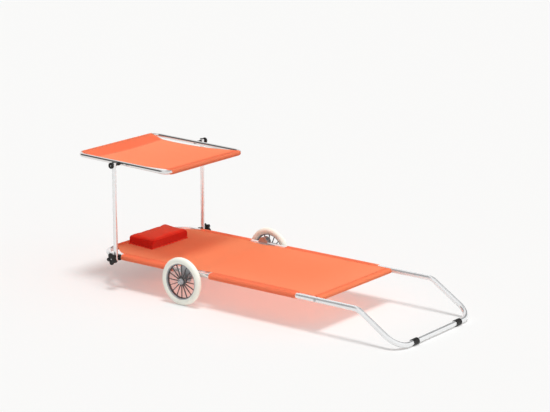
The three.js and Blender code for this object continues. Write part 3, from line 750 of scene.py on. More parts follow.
@dataclass(frozen=True)
class WovenCloth:
    """Plain-woven cloth that lets some light through, read in metres along its threads, with painted shade
    where its marks ask for it.
    """

    name: str
    colour: Point
    shaded: Point
    lit: Point = (1.0, 0.54, 0.42)
    # Painted shade: the colour multiplied in where the cloth marks' third number is 1.
    doubled: Point = (0.95, 0.85, 0.91)
    thread: float = 0.0011
    through: float = 0.74
    roughness: float = 0.85
    gloss: float = 0.1
    sheen: float = 0.12
    sheen_tint: Point = (1.0, 1.0, 1.0)
    slubs: Point = (9.0, 420.0, 1.0)
    slub_part: float = 0.4
    cloud_scale: float = 5.0
    weave_part: float = 0.25
    weave_height: float = 0.00025
    fold_scale: float = 11.0
    fold_height: float = 0.004
    strength: float = 0.5

    def build(self) -> Material:
        """Makes the material."""
        values = {"Roughness": self.roughness, "Specular IOR Level": self.gloss, "Sheen Weight": self.sheen}
        shader = Shader(self.name, {**values, "Sheen Tint": (*self.sheen_tint, 1.0)})
        turns = HALF_TURN / self.thread
        place = shader.place((turns, turns, turns), "cloth")
        threads = shader.add("ShaderNodeSeparateXYZ", {0: place}).outputs
        crossing = shader.math("MULTIPLY", shader.math("SINE", threads[0]), shader.math("SINE", threads[1]))
        weave = shader.math("MULTIPLY_ADD", crossing, 0.5, 0.5)
        slub = shader.noise(shader.place(self.slubs, "cloth"), 1.0, GRAIN_DETAIL)
        cloud = shader.noise(shader.place(), self.cloud_scale, GRAIN_DETAIL)
        mixed = shader.blend(weave, shader.blend(slub, cloud, self.slub_part), self.weave_part)
        single = shader.tint(shader.between(mixed, 0.0, 1.0), self.shaded, self.colour)
        # The cloth marks' third number is the share of painted shade, which is multiplied into the colour.
        shade_share = shader.add("ShaderNodeSeparateXYZ", {0: shader.place(attribute="cloth")}).outputs[2]
        shader.feed(shader.surface, "Base Color", shader.tint(shade_share, single, self.doubled, "MULTIPLY"))
        folds = shader.noise(shader.place(), self.fold_scale, LINE_DETAIL)
        soft = shader.bump(folds, self.strength, self.fold_height)
        shader.bump(weave, self.strength, self.weave_height, soft)
        if self.through:
            glow = shader.add("ShaderNodeBsdfTranslucent", {"Color": (*self.lit, 1.0)})
            feeds = {0: self.through, 1: shader.surface.outputs[0], 2: glow.outputs[0]}
            mix = shader.add("ShaderNodeMixShader", feeds)
            shader.feed(shader.output, "Surface", mix.outputs[0])
        return shader.material


FINISHES = (
    BrightTube(),
    BrightTube(Extra.POLISHED, (0.8, 0.79, 0.78), 1.0, 0.11, 0.2),
    Grained(
        Slot.PLATED,
        (0.4, 0.41, 0.43),
        (0.58, 0.59, 0.6),
        (0.3, 0.48),
        gloss=0.5,
        metallic=1.0,
        patch_scale=45.0,
        grain_scale=260.0,
        grain_strength=0.1,
        grain_height=0.0003,
    ),
    Grained(Slot.BLACK, (0.008, 0.007, 0.007), (0.02, 0.019, 0.018), (0.28, 0.46), 0.3),
    Grained(Slot.RIM, (0.43, 0.44, 0.46), (0.53, 0.54, 0.56)),
    # Painted shade: the dark finish of the rim's inner band and spokes.
    Grained(Extra.SPOKES, (0.075, 0.075, 0.078), (0.12, 0.12, 0.122)),
    PaleTyre(),
    WovenCloth(Slot.ORANGE, (1.0, 0.6, 0.31), (0.98, 0.53, 0.25)),
    WovenCloth(
        Slot.RED,
        (0.96, 0.05, 0.027),
        (0.88, 0.037, 0.02),
        thread=0.0009,
        # Painted shade: a deeper red on the pillow's sides.
        doubled=(0.7, 0.14, 0.12),
        through=0.0,
        sheen=0.6,
        sheen_tint=(1.0, 0.45, 0.28),
    ),
    Grained(Extra.THREAD, (0.72, 0.12, 0.05), (0.8, 0.17, 0.07), (0.62, 0.8)),
)


def make_finishes() -> dict[str, Material]:
    """Every material by its name."""
    return {finish.name: finish.build() for finish in FINISHES}


# Recipes for what repeats or follows a path


TUBE_STEPS = {"Sides": 40, "Bend Steps": 18}
STITCH_SIZES = {"Spacing": 0.0036, "Stitch Length": 0.0028, "Thread Radius": 0.0004}


class TubeRecipe(Recipe):
    """Bends a line of corners into a round tube with closed ends."""

    def __init__(self) -> None:
        """Builds the tree."""
        steps = dict.fromkeys(TUBE_STEPS, "NodeSocketInt")
        super().__init__("bent_tube", {"Tube Radius": "NodeSocketFloat", **steps})
        line = self.add("GeometryNodeMeshToCurve", {0: self.given[0]}).outputs[0]
        feeds = {"Curve": line, "Radius": self.named("bend", "FLOAT"), "Count": self.given["Bend Steps"]}
        fillet = self.add("GeometryNodeFilletCurve", feeds, mode="POLY").outputs[0]
        way = self.add("GeometryNodeSplineParameter").outputs["Length"]
        circle = {"Resolution": self.given["Sides"], "Radius": self.given["Tube Radius"]}
        ring = self.add("GeometryNodeCurvePrimitiveCircle", circle).outputs[0]
        place = self.add("GeometryNodeInputPosition").outputs[0]
        curve = self.store(fillet, "way", way, "FLOAT")
        feeds = {"Curve": curve, "Profile Curve": self.store(ring, "around", place), "Fill Caps": True}
        swept = self.add("GeometryNodeCurveToMesh", feeds).outputs[0]
        smooth = self.add("GeometryNodeSetShadeSmooth", {0: swept}).outputs[0]
        around = self.add("ShaderNodeSeparateXYZ", {0: self.named("around")}).outputs
        feeds = {0: self.named("way", "FLOAT"), 1: around[0], 2: around[1]}
        straight = self.add("ShaderNodeCombineXYZ", feeds)
        self.close(self.store(smooth, "straight", straight.outputs[0]))

    def store(self, geometry: Socket, name: str, value: Socket, kind: str = "FLOAT_VECTOR") -> Socket:
        """The geometry with a value stored on each point under a name."""
        feeds = {"Geometry": geometry, "Name": name, "Value": value}
        return self.add("GeometryNodeStoreNamedAttribute", feeds, data_type=kind, domain="POINT").outputs[0]

    def bend(self, name: str, corners: Sequence[Corner], radius: float, material: Material) -> Piece:
        """Makes one tube.

        Args:
            name: The tube's name.
            corners: Its corners, each with the radius of its bend.
            radius: The tube's outer radius.
            material: Its material.

        Returns:
            The tube.
        """
        edges = [(i, i + 1) for i in range(len(corners) - 1)]
        obj = add_object(name, [place for place, _ in corners], edges=edges)
        bends = obj.data.attributes.new("bend", "FLOAT", "POINT")
        bends.data.foreach_set("value", [bend for _, bend in corners])
        return shade(clean(self.apply(obj, {"Tube Radius": radius, "Material": material, **TUBE_STEPS})))


class SpreadRecipe(Recipe):
    """Puts a copy of one shape on each point of a mesh, turned as the point says."""

    def __init__(self) -> None:
        """Builds the tree."""
        super().__init__("spread_shape", {"Shape": "NodeSocketObject"})
        shape = self.add("GeometryNodeObjectInfo", {"Object": self.given["Shape"], "As Instance": True})
        feeds = {"Points": self.given[0], "Instance": shape.outputs["Geometry"]}
        feeds["Rotation"] = self.named("turn")
        self.close(self.add("GeometryNodeInstanceOnPoints", feeds).outputs[0])

    def spread(
        self, name: str, shape: Piece, places: Sequence[Point], turns: Sequence[Point], material: Material
    ) -> Piece:
        """Makes the copies as one mesh and uses up the shape.

        Args:
            name: The new object's name.
            shape: The shape, about the origin.
            places: Where each copy goes.
            turns: The turn of each copy, as angles about X, Y and Z.
            material: The material.

        Returns:
            All copies as one object.
        """
        obj = add_object(name, places)
        mark_points(obj, "turn", turns)
        self.apply(obj, {"Shape": shape, "Material": material})
        bpy.data.objects.remove(shape)
        return shade(obj)


class StitchRecipe(Recipe):
    """Lays short stitches along lines that follow a cloth."""

    def __init__(self) -> None:
        """Builds the tree."""
        super().__init__("stitches", dict.fromkeys(STITCH_SIZES, "NodeSocketFloat"))
        line = self.add("GeometryNodeMeshToCurve", {0: self.given[0]}).outputs[0]
        feeds = {"Curve": line, "Length": self.given["Spacing"]}
        even = self.add("GeometryNodeResampleCurve", feeds, mode="LENGTH")
        tangent = self.add("GeometryNodeInputTangent").outputs[0]
        turn = self.add("FunctionNodeAlignRotationToVector", {"Vector": tangent}, axis="Z")
        thread = self.given["Thread Radius"]
        stitch = self.add("GeometryNodeMeshUVSphere", {"Segments": 6, "Rings": 4, "Radius": thread})
        stretch = self.math("DIVIDE", self.given["Stitch Length"], self.math("MULTIPLY", thread, 2.0))
        scale = self.add("ShaderNodeCombineXYZ", {0: 1.0, 1: 1.0, 2: stretch})
        nodes = {"Points": even, "Instance": stitch, "Rotation": turn, "Scale": scale}
        feeds = {title: node.outputs[0] for title, node in nodes.items()}
        copies = self.add("GeometryNodeInstanceOnPoints", feeds)
        self.close(self.add("GeometryNodeSetShadeSmooth", {0: copies.outputs[0]}).outputs[0])

    def sew(self, name: str, lines: Sequence[Sequence[Point]], material: Material) -> Piece:
        """Makes the stitches of some seams.

        Args:
            name: The object's name.
            lines: The points that each seam follows.
            material: The thread's material.

        Returns:
            All stitches as one object.
        """
        points: list[Point] = []
        edges: list[Face] = []
        for line in lines:
            start = len(points)
            points.extend(line)
            edges.extend((start + i, start + i + 1) for i in range(len(line) - 1))
        return self.apply(add_object(name, points, edges=edges), {**STITCH_SIZES, "Material": material})


@dataclass
class Workshop:
    """What every sub-assembly works with: the plan, the finishes and the recipes."""

    plan: Plan
    finishes: dict[str, Material] = field(default_factory=make_finishes)
    tubes: TubeRecipe = field(default_factory=TubeRecipe)
    spreads: SpreadRecipe = field(default_factory=SpreadRecipe)
    stitches: StitchRecipe = field(default_factory=StitchRecipe)

    def finish(self, obj: Piece, body: str, slot: Slot, *nodes: str) -> Piece:
        """Paints a piece in its slot's own finish, shades it and makes it part of the lounger."""
        return install(shade(paint(obj, self.finishes[slot])), body, slot, *nodes)

    def tube(self, name: str, corners: Sequence[Corner], radius: float, body: str, node: str) -> None:
        """Bends a bright tube and makes it part of the lounger."""
        install(self.tubes.bend(name, corners, radius, self.finishes[Slot.TUBE]), body, Slot.TUBE, node)

    def sew(self, name: str, lines: Sequence[Sequence[Point]], body: str) -> None:
        """Sews seams in a cloth that rides on a body."""
        install(self.stitches.sew(name, lines, self.finishes[Extra.THREAD]), body, Slot.ORANGE)


# Frames


@dataclass
class FootFrame:
    """The foot half's tube, from rail to floor and back, with its hem bar and grips."""

    shop: Workshop
    rail_start: float = 0.0166
    leg_bend: float = 0.976
    leg_bend_radius: float = 0.06
    floor_bar: float = 1.195
    floor_corner_radius: float = 0.08
    grip_radius: float = 0.0156
    grip_sole_cut: float = 0.0008
    grip_inner_end: float = 0.155
    grip_length: float = 0.04
    grip_shoulder: float = 0.0018
    rib: float = 0.0006
    rib_flank: float = 0.3
    rib_count: int = 7
    hem_bar: float = 0.75
    hem_bar_radius: float = 0.01
    hem_bar_inset: float = 0.007
    screw_radius: float = 0.0025
    screw_head: float = 0.0055
    screw_head_height: float = 0.003
    screw_depth: float = 0.02

    def build(self) -> None:
        """Makes the tube, the hem bar, its screws and the grips."""
        self.frame_tube()
        self.hem()
        for side in Side:
            self.grip(side)

    def frame_tube(self) -> None:
        """Bends the frame's tube."""
        plan = self.shop.plan
        right = [
            (self.rail_start, plan.rail_height, 0.0),
            (self.leg_bend, plan.rail_height, self.leg_bend_radius),
            (self.floor_bar, self.grip_radius - self.grip_sole_cut, self.floor_corner_radius),
        ]
        self.shop.tube("foot_tube", plan.both_rails(right), plan.rail_radius, Body.FOOT, "foot_frame_tube")

    def hem(self) -> None:
        """Makes the bar in the foot hem and the screws that hold it."""
        plan = self.shop.plan
        x = plan.hinge_x + self.hem_bar
        reach = plan.rail_half_width - self.hem_bar_inset
        corners = [((x, side.value * reach, plan.rail_height), 0.0) for side in Side]
        self.shop.tube("hem_bar", corners, self.hem_bar_radius, Body.FOOT, "foot_hem_bar")
        tip = -plan.rail_radius - self.screw_depth
        seat = plan.rail_radius + plan.fit
        screw = domed_screw(self.screw_radius, tip, seat, self.screw_head, self.screw_head_height)
        places = [(x, side.value * plan.rail_half_width, plan.rail_height) for side in Side]
        turns = [side.outward.to_euler() for side in Side]
        screws = self.shop.spreads.spread("hem_screws", screw, places, turns, self.shop.finishes[Slot.PLATED])
        install(screws, Body.FOOT, Slot.PLATED, "foot_hem_screw_right", "foot_hem_screw_left")

    def grip(self, side: Side) -> None:
        """Makes one ribbed grip with the flat that the lounger stands on.

        Args:
            side: The side it is on.
        """
        plan = self.shop.plan
        bore = plan.rail_radius + plan.fit / 2
        half = self.grip_length / 2
        crest = self.grip_radius
        groove = crest - self.rib
        pitch = 2 * (half - self.grip_shoulder) / self.rib_count
        profile = [(bore, -half), (groove, -half), (crest, self.rib - half)]
        for number in range(self.rib_count):
            start = self.grip_shoulder - half + pitch * number
            flanks = (start + self.rib_flank * pitch, start + (1 - self.rib_flank) * pitch)
            profile.extend([(crest, start), (groove, flanks[0]), (groove, flanks[1]), (crest, start + pitch)])
        profile.extend([(crest, half - self.rib), (groove, half), (bore, half)])
        grip = lathe(f"grip_{side.word}", profile, 48, closed=True)
        middle = side.value * (self.grip_inner_end + half)
        move(grip, (plan.hinge_x + self.floor_bar, middle, self.grip_radius - self.grip_sole_cut))
        work = bmesh.new()
        work.from_mesh(grip.data)
        parts = [*work.verts, *work.edges, *work.faces]
        bmesh.ops.bisect_plane(work, geom=parts, plane_co=(0, 0, 0), plane_no=(0, 0, -1), clear_outer=True)
        bmesh.ops.holes_fill(work, edges=[edge for edge in work.edges if edge.is_boundary])
        work.to_mesh(grip.data)
        work.free()
        self.shop.finish(grip, Body.FOOT, Slot.BLACK, f"foot_grip_{side.word}")


def domed_screw(radius: float, tip: float, seat: float, head: float, height: float) -> Piece:
    """A screw along Y, with its domed head towards +Y.

    Args:
        radius: The shaft's radius.
        tip: Where the shaft ends.
        seat: Where the head bears.
        head: The head's radius.
        height: The head's height.

    Returns:
        The screw about the origin.
    """
    point_share = 0.6
    rim_share = 0.35
    profile = [(0.0, tip), (radius * point_share, tip), (radius, tip + radius), (radius, seat), (head, seat)]
    for angle in quarter_angles(5):
        rise = rim_share + (1 - rim_share) * sin(angle)
        profile.append((head * cos(angle), seat + height * rise))
    return lathe("screw_shape", profile, 24)


@dataclass
class HeadFrame:
    """The head half's tube, bent in a U round the head end."""

    shop: Workshop
    overhang: float = 0.01
    head_bar: float = -0.545
    corner_radius: float = 0.1

    def build(self) -> None:
        """Bends the tube."""
        plan = self.shop.plan
        height = plan.rail_height
        right = [(self.overhang, height, 0.0), (self.head_bar, height, self.corner_radius)]
        self.shop.tube("head_tube", plan.both_rails(right), plan.rail_radius, Body.HEAD, "head_frame_tube")


# Hinges


@dataclass(frozen=True)
class Pin:
    """A pin along Y with a domed head at each end."""

    radius: float
    head: float
    height: float

    def shape(self, half_length: float) -> Piece:
        """Turns the pin about the origin, with its heads at a distance from its middle."""
        dome = [(self.head * sin(angle), self.height * cos(angle)) for angle in quarter_angles(6)]
        half = [(place, half_length + rise) for place, rise in dome]
        return lathe("pin_shape", mirrored([*half, (self.radius, half_length)]), 28)


@dataclass
class Hinges:
    """The hinge plates at both sides, with their pins, stop pins and rivets."""

    shop: Workshop
    plate: float = 0.0025
    plate_bevel: float = 0.0004
    crown_radius: float = 0.028
    crown_rise: float = 0.011
    lug_radius: float = 0.015
    tail_length: float = 0.066
    tail_margin: float = 0.001
    pin: Pin = Pin(0.005, 0.009, 0.0025)
    stop: Pin = Pin(0.004, 0.006, 0.002)
    stop_x: float = -0.012
    rivet: Pin = Pin(0.003, 0.006, 0.002)
    first_rivet: float = 0.034
    outline_points: int = 180
    shape_samples: int = 40

    def build(self) -> None:
        """Makes the plates and everything that holds them."""
        self.plates()
        plan = self.shop.plan
        rail = plan.rail_height
        stop_height = rail - plan.rail_radius - plan.fit - self.stop.radius
        self.spread("hinge_pins", self.pin, {"hinge_pin": (0.0, rail)})
        self.spread("stop_pins", self.stop, {"head_stop_pin": (self.stop_x, stop_height)})
        rivets = {"hinge_rivet_front": (self.first_rivet, rail), "hinge_rivet_rear": (self.tail_length, rail)}
        self.spread("plate_rivets", self.rivet, rivets)

    def spread(self, name: str, pin: Pin, places: dict[str, Pair]) -> None:
        """Puts pins at places on both sides.

        Args:
            name: The new piece's name.
            pin: The pin.
            places: For each node, without its side, the pin's distance from the hinge and its height.
        """
        plan = self.shop.plan
        shape = pin.shape(plan.rail_radius + 2 * plan.fit + self.plate)
        wide = plan.rail_half_width
        points = [(plan.hinge_x + x, side.value * wide, z) for side in Side for x, z in places.values()]
        turns = [(0.0, 0.0, 0.0)] * len(points)
        piece = self.shop.spreads.spread(name, shape, points, turns, self.shop.finishes[Slot.PLATED])
        install(piece, Body.FOOT, Slot.PLATED, *(f"{stem}_{side.word}" for side in Side for stem in places))

    def reach(self, angle: float) -> float:
        """Distance from the hinge pin to the plate's edge.

        Args:
            angle: The direction, from the foot end upwards.

        Returns:
            The distance.
        """
        plan = self.shop.plan
        ray = Vector((cos(angle), sin(angle)))
        lug = Vector((0.0, plan.axle_height - plan.rail_height))
        crown = Vector((0.0, self.crown_rise))
        tail_end = Vector((self.tail_length, 0.0))
        farthest = 0.0
        for i in range(self.shape_samples + 1):
            share = i / self.shape_samples
            web = (lug.lerp(crown, share), self.lug_radius + (self.crown_radius - self.lug_radius) * share)
            tail = (tail_end * share, plan.rail_radius - self.tail_margin)
            for centre, radius in (web, tail):
                along = centre.dot(ray)
                inside = radius**2 - centre.length_squared + along**2
                if inside > 0:
                    farthest = max(farthest, along + sqrt(inside))
        return farthest

    def plates(self) -> None:
        """Makes an outer and an inner plate on each side."""
        plan = self.shop.plan
        edge = [(angle, self.reach(angle)) for angle in round_angles(self.outline_points)]
        half = self.plate / 2
        bevel = self.plate_bevel
        stations = [(-half, bevel), (bevel - half, 0.0), (half - bevel, 0.0), (half, bevel)]
        rings = [
            [round_point(reach - inset, angle, along) for angle, reach in edge] for along, inset in stations
        ]
        beside_rail = plan.rail_radius + plan.fit + half
        for side in Side:
            for place, offset in {"outer": beside_rail, "inner": -beside_rail}.items():
                middle = (plan.hinge_x, side.value * (plan.rail_half_width + offset), plan.rail_height)
                plate = move(loft(f"plate_{place}_{side.word}", rings), middle)
                self.shop.finish(plate, Body.FOOT, Slot.PLATED, f"hinge_plate_{place}_{side.word}")


# Wheels


@dataclass
class Axle:
    """The axle, with a spacer and a domed cap at each end."""

    shop: Workshop
    radius: float = 0.005
    rim: float = 0.001
    end_share: float = 0.7
    hub_length: float = 0.036
    spacer_radius: float = 0.009
    spacer_length: float = 0.0041
    spacer_bevel: float = 0.0005
    cap_radius: float = 0.009
    cap_height: float = 0.006
    cap_rim: float = 0.001
    socket_share: float = 0.72
    dome_radius: float = 0.0078
    dome_start: float = 0.0016
    dome_steps: int = 8

    def build(self) -> None:
        """Makes the axle, the spacers and the domed caps."""
        plan = self.shop.plan
        cap_seat = plan.wheel_y + self.hub_length / 2 + plan.fit
        reach = cap_seat + self.cap_height * self.end_share
        axle = lathe("axle_rod", rounded_ends(self.radius, -reach, reach, self.rim), 32)
        move(axle, (plan.hinge_x, 0.0, plan.axle_height))
        self.shop.finish(axle, Body.FOOT, Slot.PLATED, "axle")
        bore = self.radius + plan.fit
        half = self.spacer_length / 2
        middle = plan.rail_half_width + plan.rail_radius + Hinges.plate + 2 * plan.fit + half
        wide = self.spacer_radius
        bevel = self.spacer_bevel
        spacer_profile = mirrored([(bore, half), (wide - bevel, half), (wide, half - bevel)])
        for side in Side:
            spacer = lathe(f"spacer_{side.word}", spacer_profile, 40, closed=True)
            move(spacer, (plan.hinge_x, side.value * middle, plan.axle_height))
            self.shop.finish(spacer, Body.FOOT, Slot.BLACK, f"axle_spacer_{side.word}")
            cap = lathe(f"cap_{side.word}", self.cap_profile(bore), 48)
            move(cap, (plan.hinge_x, side.value * cap_seat, plan.axle_height), side.outward)
            self.shop.finish(cap, Body.FOOT, Slot.PLATED, f"axle_cap_{side.word}")

    def cap_profile(self, bore: float) -> list[Pair]:
        """The profile of a push-on axle cap.

        Args:
            bore: The radius of its socket.

        Returns:
            The profile, from the socket's floor to the top of its dome.
        """
        floor = self.cap_height * self.socket_share
        wide = self.cap_radius
        profile = [(0.0, floor), (bore, floor), (bore, 0.0), (wide, 0.0), (wide, self.cap_rim)]
        rise = self.cap_height - self.dome_start
        for angle in quarter_angles(self.dome_steps):
            profile.append((self.dome_radius * cos(angle), self.dome_start + rise * sin(angle)))
        return profile


@dataclass
class Wheel:
    """One wheel: a tyre on a rim with spokes and a hub."""

    shop: Workshop
    side: Side
    radius: float = 0.115
    tyre_width: float = 0.029
    tyre_height: float = 0.028
    tyre_seat_width: float = 0.021
    tyre_points: int = 36
    mould_line: float = 0.0005
    mould_angle: float = radians(48)
    mould_spread: float = 0.05
    rim_wall: float = 0.007
    rim_width: float = 0.022
    rim_bevel: float = 0.0008
    rim_slope: float = 0.0024
    band_wall: float = 0.0034
    band_inset: float = 0.0068
    band_groove: float = 0.0012
    hub_radius: float = 0.014
    hub_bevel: float = 0.0006
    collar_step: float = 0.0025
    collar_bevel: float = 0.0008
    collar_length: float = 0.008
    spoke_count: int = 16
    spoke_depth: float = 0.007
    spoke_width_at_hub: float = 0.005
    spoke_width_at_rim: float = 0.0035
    spoke_root_share: float = 0.8
    spoke_root_extra: Pair = (0.002, 0.003)
    spoke_straight: Pair = (0.004, 0.012)
    spoke_foot: Pair = (0.0006, 0.0012)
    spoke_depth_shares: Pair = (0.8, 0.9)
    spoke_points: int = 12
    spoke_power: float = 0.6
    segments: int = 96

    def build(self) -> None:
        """Makes the tyre and the rim."""
        self.tyre()
        self.rim()

    def settle_in(self, obj: Piece) -> Piece:
        """Takes a piece drawn about the wheel's centre to its place."""
        plan = self.shop.plan
        return move(obj, (plan.hinge_x, self.side.value * plan.wheel_y, plan.axle_height))

    def tyre(self) -> None:
        """Makes the tyre with a mould line round its shoulders."""
        word = self.side.word
        seat_angle = acos(self.tyre_seat_width / self.tyre_width)
        half_height = self.tyre_height / (1 + sin(seat_angle))
        profile = []
        for i in range(self.tyre_points + 1):
            angle = -seat_angle + (HALF_TURN + 2 * seat_angle) * i / self.tyre_points
            from_line = (abs(angle - QUARTER_TURN) - self.mould_angle) / self.mould_spread
            scale = 1 - self.mould_line * exp(-(from_line**2)) / half_height
            radial = self.radius - half_height * (1 - scale * sin(angle))
            profile.append((radial, self.tyre_width / 2 * scale * cos(angle)))
        tyre = self.settle_in(lathe(f"tyre_ring_{word}", profile, self.segments, closed=True))
        self.shop.finish(tyre, f"{word}_wheel", Slot.TYRE, f"tyre_{word}")

    def rim(self) -> None:
        """Makes the rim: outer ring, inner band and spokes in a dark finish that paints the shade inside the
        rim, and hub.
        """
        word = self.side.word
        light, dark = self.shop.finishes[Slot.RIM], self.shop.finishes[Extra.SPOKES]
        seat = self.radius - self.tyre_height - self.shop.plan.fit
        inner = seat - self.rim_wall
        middle = inner + self.band_wall
        half = self.rim_width / 2
        bevel = self.rim_bevel
        face = [(middle, half - self.rim_slope), (middle + bevel, half)]
        face.extend([(seat - bevel, half), (seat, half - bevel)])
        depth = half - self.band_inset
        groove = (inner + self.band_groove, 0.0)
        band_profile = [groove, *mirrored([(inner, depth), (middle, depth)])]
        ring = paint(lathe(f"rim_ring_{word}", mirrored(face), self.segments, closed=True), light)
        # The band and the spokes take the dark finish of painted shade.
        band = paint(lathe("band", band_profile, self.segments, closed=True), dark)
        hub = paint(lathe("hub", self.hub_profile(), 56, closed=True), light)
        turns = [(0.0, angle, 0.0) for angle in round_angles(self.spoke_count)]
        places = [(0.0, 0.0, 0.0)] * self.spoke_count
        spokes = self.shop.spreads.spread("spokes", self.spoke_shape(inner), places, turns, dark)
        rim = self.settle_in(join(f"rim_{word}", [ring, band, hub, spokes]))
        install(shade(rim), f"{word}_wheel", Slot.RIM, f"wheel_rim_{word}")

    def hub_profile(self) -> list[Pair]:
        """The hub's closed profile: a barrel with two slimmer collars."""
        half = Axle.hub_length / 2
        wide = self.hub_radius
        slim = wide - self.collar_step
        bevel = self.collar_bevel
        shoulder = half - self.collar_length
        end = [(Axle.radius + self.shop.plan.fit, half), (slim - bevel, half)]
        end.extend([(slim, half - bevel), (slim, shoulder)])
        step = [(wide - self.hub_bevel, shoulder - bevel), (wide, shoulder - 2 * bevel)]
        return mirrored([*end, *step], (wide, 0.0))

    def spoke_shape(self, inner: float) -> Piece:
        """One tapered spoke along +X with rounded edges.

        Args:
            inner: The rim's inner radius.

        Returns:
            The spoke about the wheel's centre.
        """
        sunk, flare = self.spoke_foot
        end = inner + sunk
        after_hub, before_end = self.spoke_straight
        extra_width, extra_depth = self.spoke_root_extra
        hub_width, rim_width, depth = self.spoke_width_at_hub, self.spoke_width_at_rim, self.spoke_depth
        stations = [
            (self.hub_radius * self.spoke_root_share, hub_width + extra_width, depth + extra_depth),
            (self.hub_radius + after_hub, hub_width, depth),
            (end - before_end, rim_width, depth * self.spoke_depth_shares[0]),
            (end, rim_width + flare, depth * self.spoke_depth_shares[1]),
        ]
        section = [
            (squared_off(sin(angle), self.spoke_power), squared_off(cos(angle), self.spoke_power))
            for angle in round_angles(self.spoke_points)
        ]
        rings = [[(x, high / 2 * y, wide / 2 * z) for y, z in section] for x, wide, high in stations]
        return loft("spoke_shape", rings)


# Posts and pivots


@dataclass
class Posts:
    """The two canopy posts with their end caps."""

    shop: Workshop
    foot: float = 0.015
    top: float = 0.012
    cap_depth: float = 0.005
    cap_wall: float = 0.002
    plug_bevel: Pair = (0.0006, 0.001)
    cap_insets: tuple[float, ...] = (0.0, 0.0, 0.0005, 0.002, 0.005)
    cap_rises: tuple[float, ...] = (0.0, 0.0007, 0.0013, 0.0018, 0.002)

    def build(self) -> None:
        """Makes both posts."""
        plan = self.shop.plan
        low = plan.rail_height - self.foot
        high = plan.canopy_height + self.top
        for side in Side:
            y = side.value * plan.post_y
            corners = [((plan.post_x, y, low), 0.0), ((plan.post_x, y, high), 0.0)]
            word = side.word
            self.shop.tube(f"post_{word}", corners, plan.post_radius, Body.POSTS, f"canopy_post_{word}")
            for place, end, tilt in (("bottom", low, -QUARTER_TURN), ("top", high, QUARTER_TURN)):
                cap = lathe(f"post_cap_{place}_piece_{word}", self.cap_profile(), 40)
                move(cap, (plan.post_x, y, end), Matrix.Rotation(tilt, 4, "X"))
                self.shop.finish(cap, Body.POSTS, Slot.BLACK, f"post_cap_{place}_{word}")

    def cap_profile(self) -> list[Pair]:
        """The profile of a push-in cap, from its plug to the middle of its face."""
        plan = self.shop.plan
        plug = plan.post_radius - self.cap_wall
        narrower, shorter = self.plug_bevel
        start = -self.cap_depth
        profile = [(0.0, start), (plug - narrower, start), (plug, start + shorter), (plug, plan.fit)]
        face = zip(self.cap_insets, self.cap_rises)
        profile.extend((plan.post_radius - inset, plan.fit + rise) for inset, rise in face)
        return [*profile, (0.0, profile[-1][1])]


@dataclass(frozen=True)
class Knob:
    """A knob along +Y with a bore, made of rings that are round or follow its outline.

    Each ring has its place along the axis, the share of the outline in it, and a radius that is added to
    that. A ring with neither is the bore's.
    """

    rings: tuple[Point, ...]
    points: int

    @property
    def depth(self) -> float:
        """How far the knob reaches from the face that it bears on."""
        return max(along for along, _, _ in self.rings)

    def solid(self, name: str, outline: Callable[[float], float], bore: float) -> Piece:
        """Makes the closed knob about the origin, from the radius of its outline at an angle."""
        points = [
            round_point((radius + share * outline(angle)) or bore, angle, along)
            for along, share, radius in self.rings
            for angle in round_angles(self.points)
        ]
        return clean(add_object(name, points, band_faces(len(self.rings), self.points)))


STAR_KNOB = Knob(
    (
        (0.0, 0.0, 0.0),
        (0.0, 0.0, 0.013),
        (0.001, 0.0, 0.014),
        (0.0065, 0.0, 0.014),
        (0.008, 0.0, 0.0155),
        (0.008, 1.0, -0.003),
        (0.0092, 1.0, -0.0012),
        (0.0115, 1.0, -0.0002),
        (0.014, 1.0, 0.0),
        (0.02, 1.0, -0.0003),
        (0.0225, 1.0, -0.0011),
        (0.0246, 1.0, -0.0028),
        (0.0257, 1.0, -0.0054),
        (0.026, 0.5, 0.0),
        (0.026, 0.0, 0.0085),
        (0.0254, 0.0, 0.0075),
        (0.0225, 0.0, 0.0068),
        (0.0222, 0.0, 0.0),
    ),
    120,
)
ROUND_KNOB = Knob(
    (
        (0.0, 0.0, 0.0),
        (0.0, 0.0, 0.0074),
        (0.0006, 0.0, 0.008),
        (0.004, 0.0, 0.008),
        (0.004, 0.0, 0.0124),
        (0.0054, 1.0, -0.0004),
        (0.006, 1.0, 0.0),
        (0.013, 1.0, 0.0),
        (0.0138, 1.0, -0.0005),
        (0.0154, 0.0, 0.0122),
        (0.016, 0.0, 0.0102),
        (0.016, 0.0, 0.0062),
        (0.0154, 0.0, 0.0056),
        (0.0134, 0.0, 0.0052),
        (0.0132, 0.0, 0.0),
    ),
    144,
)


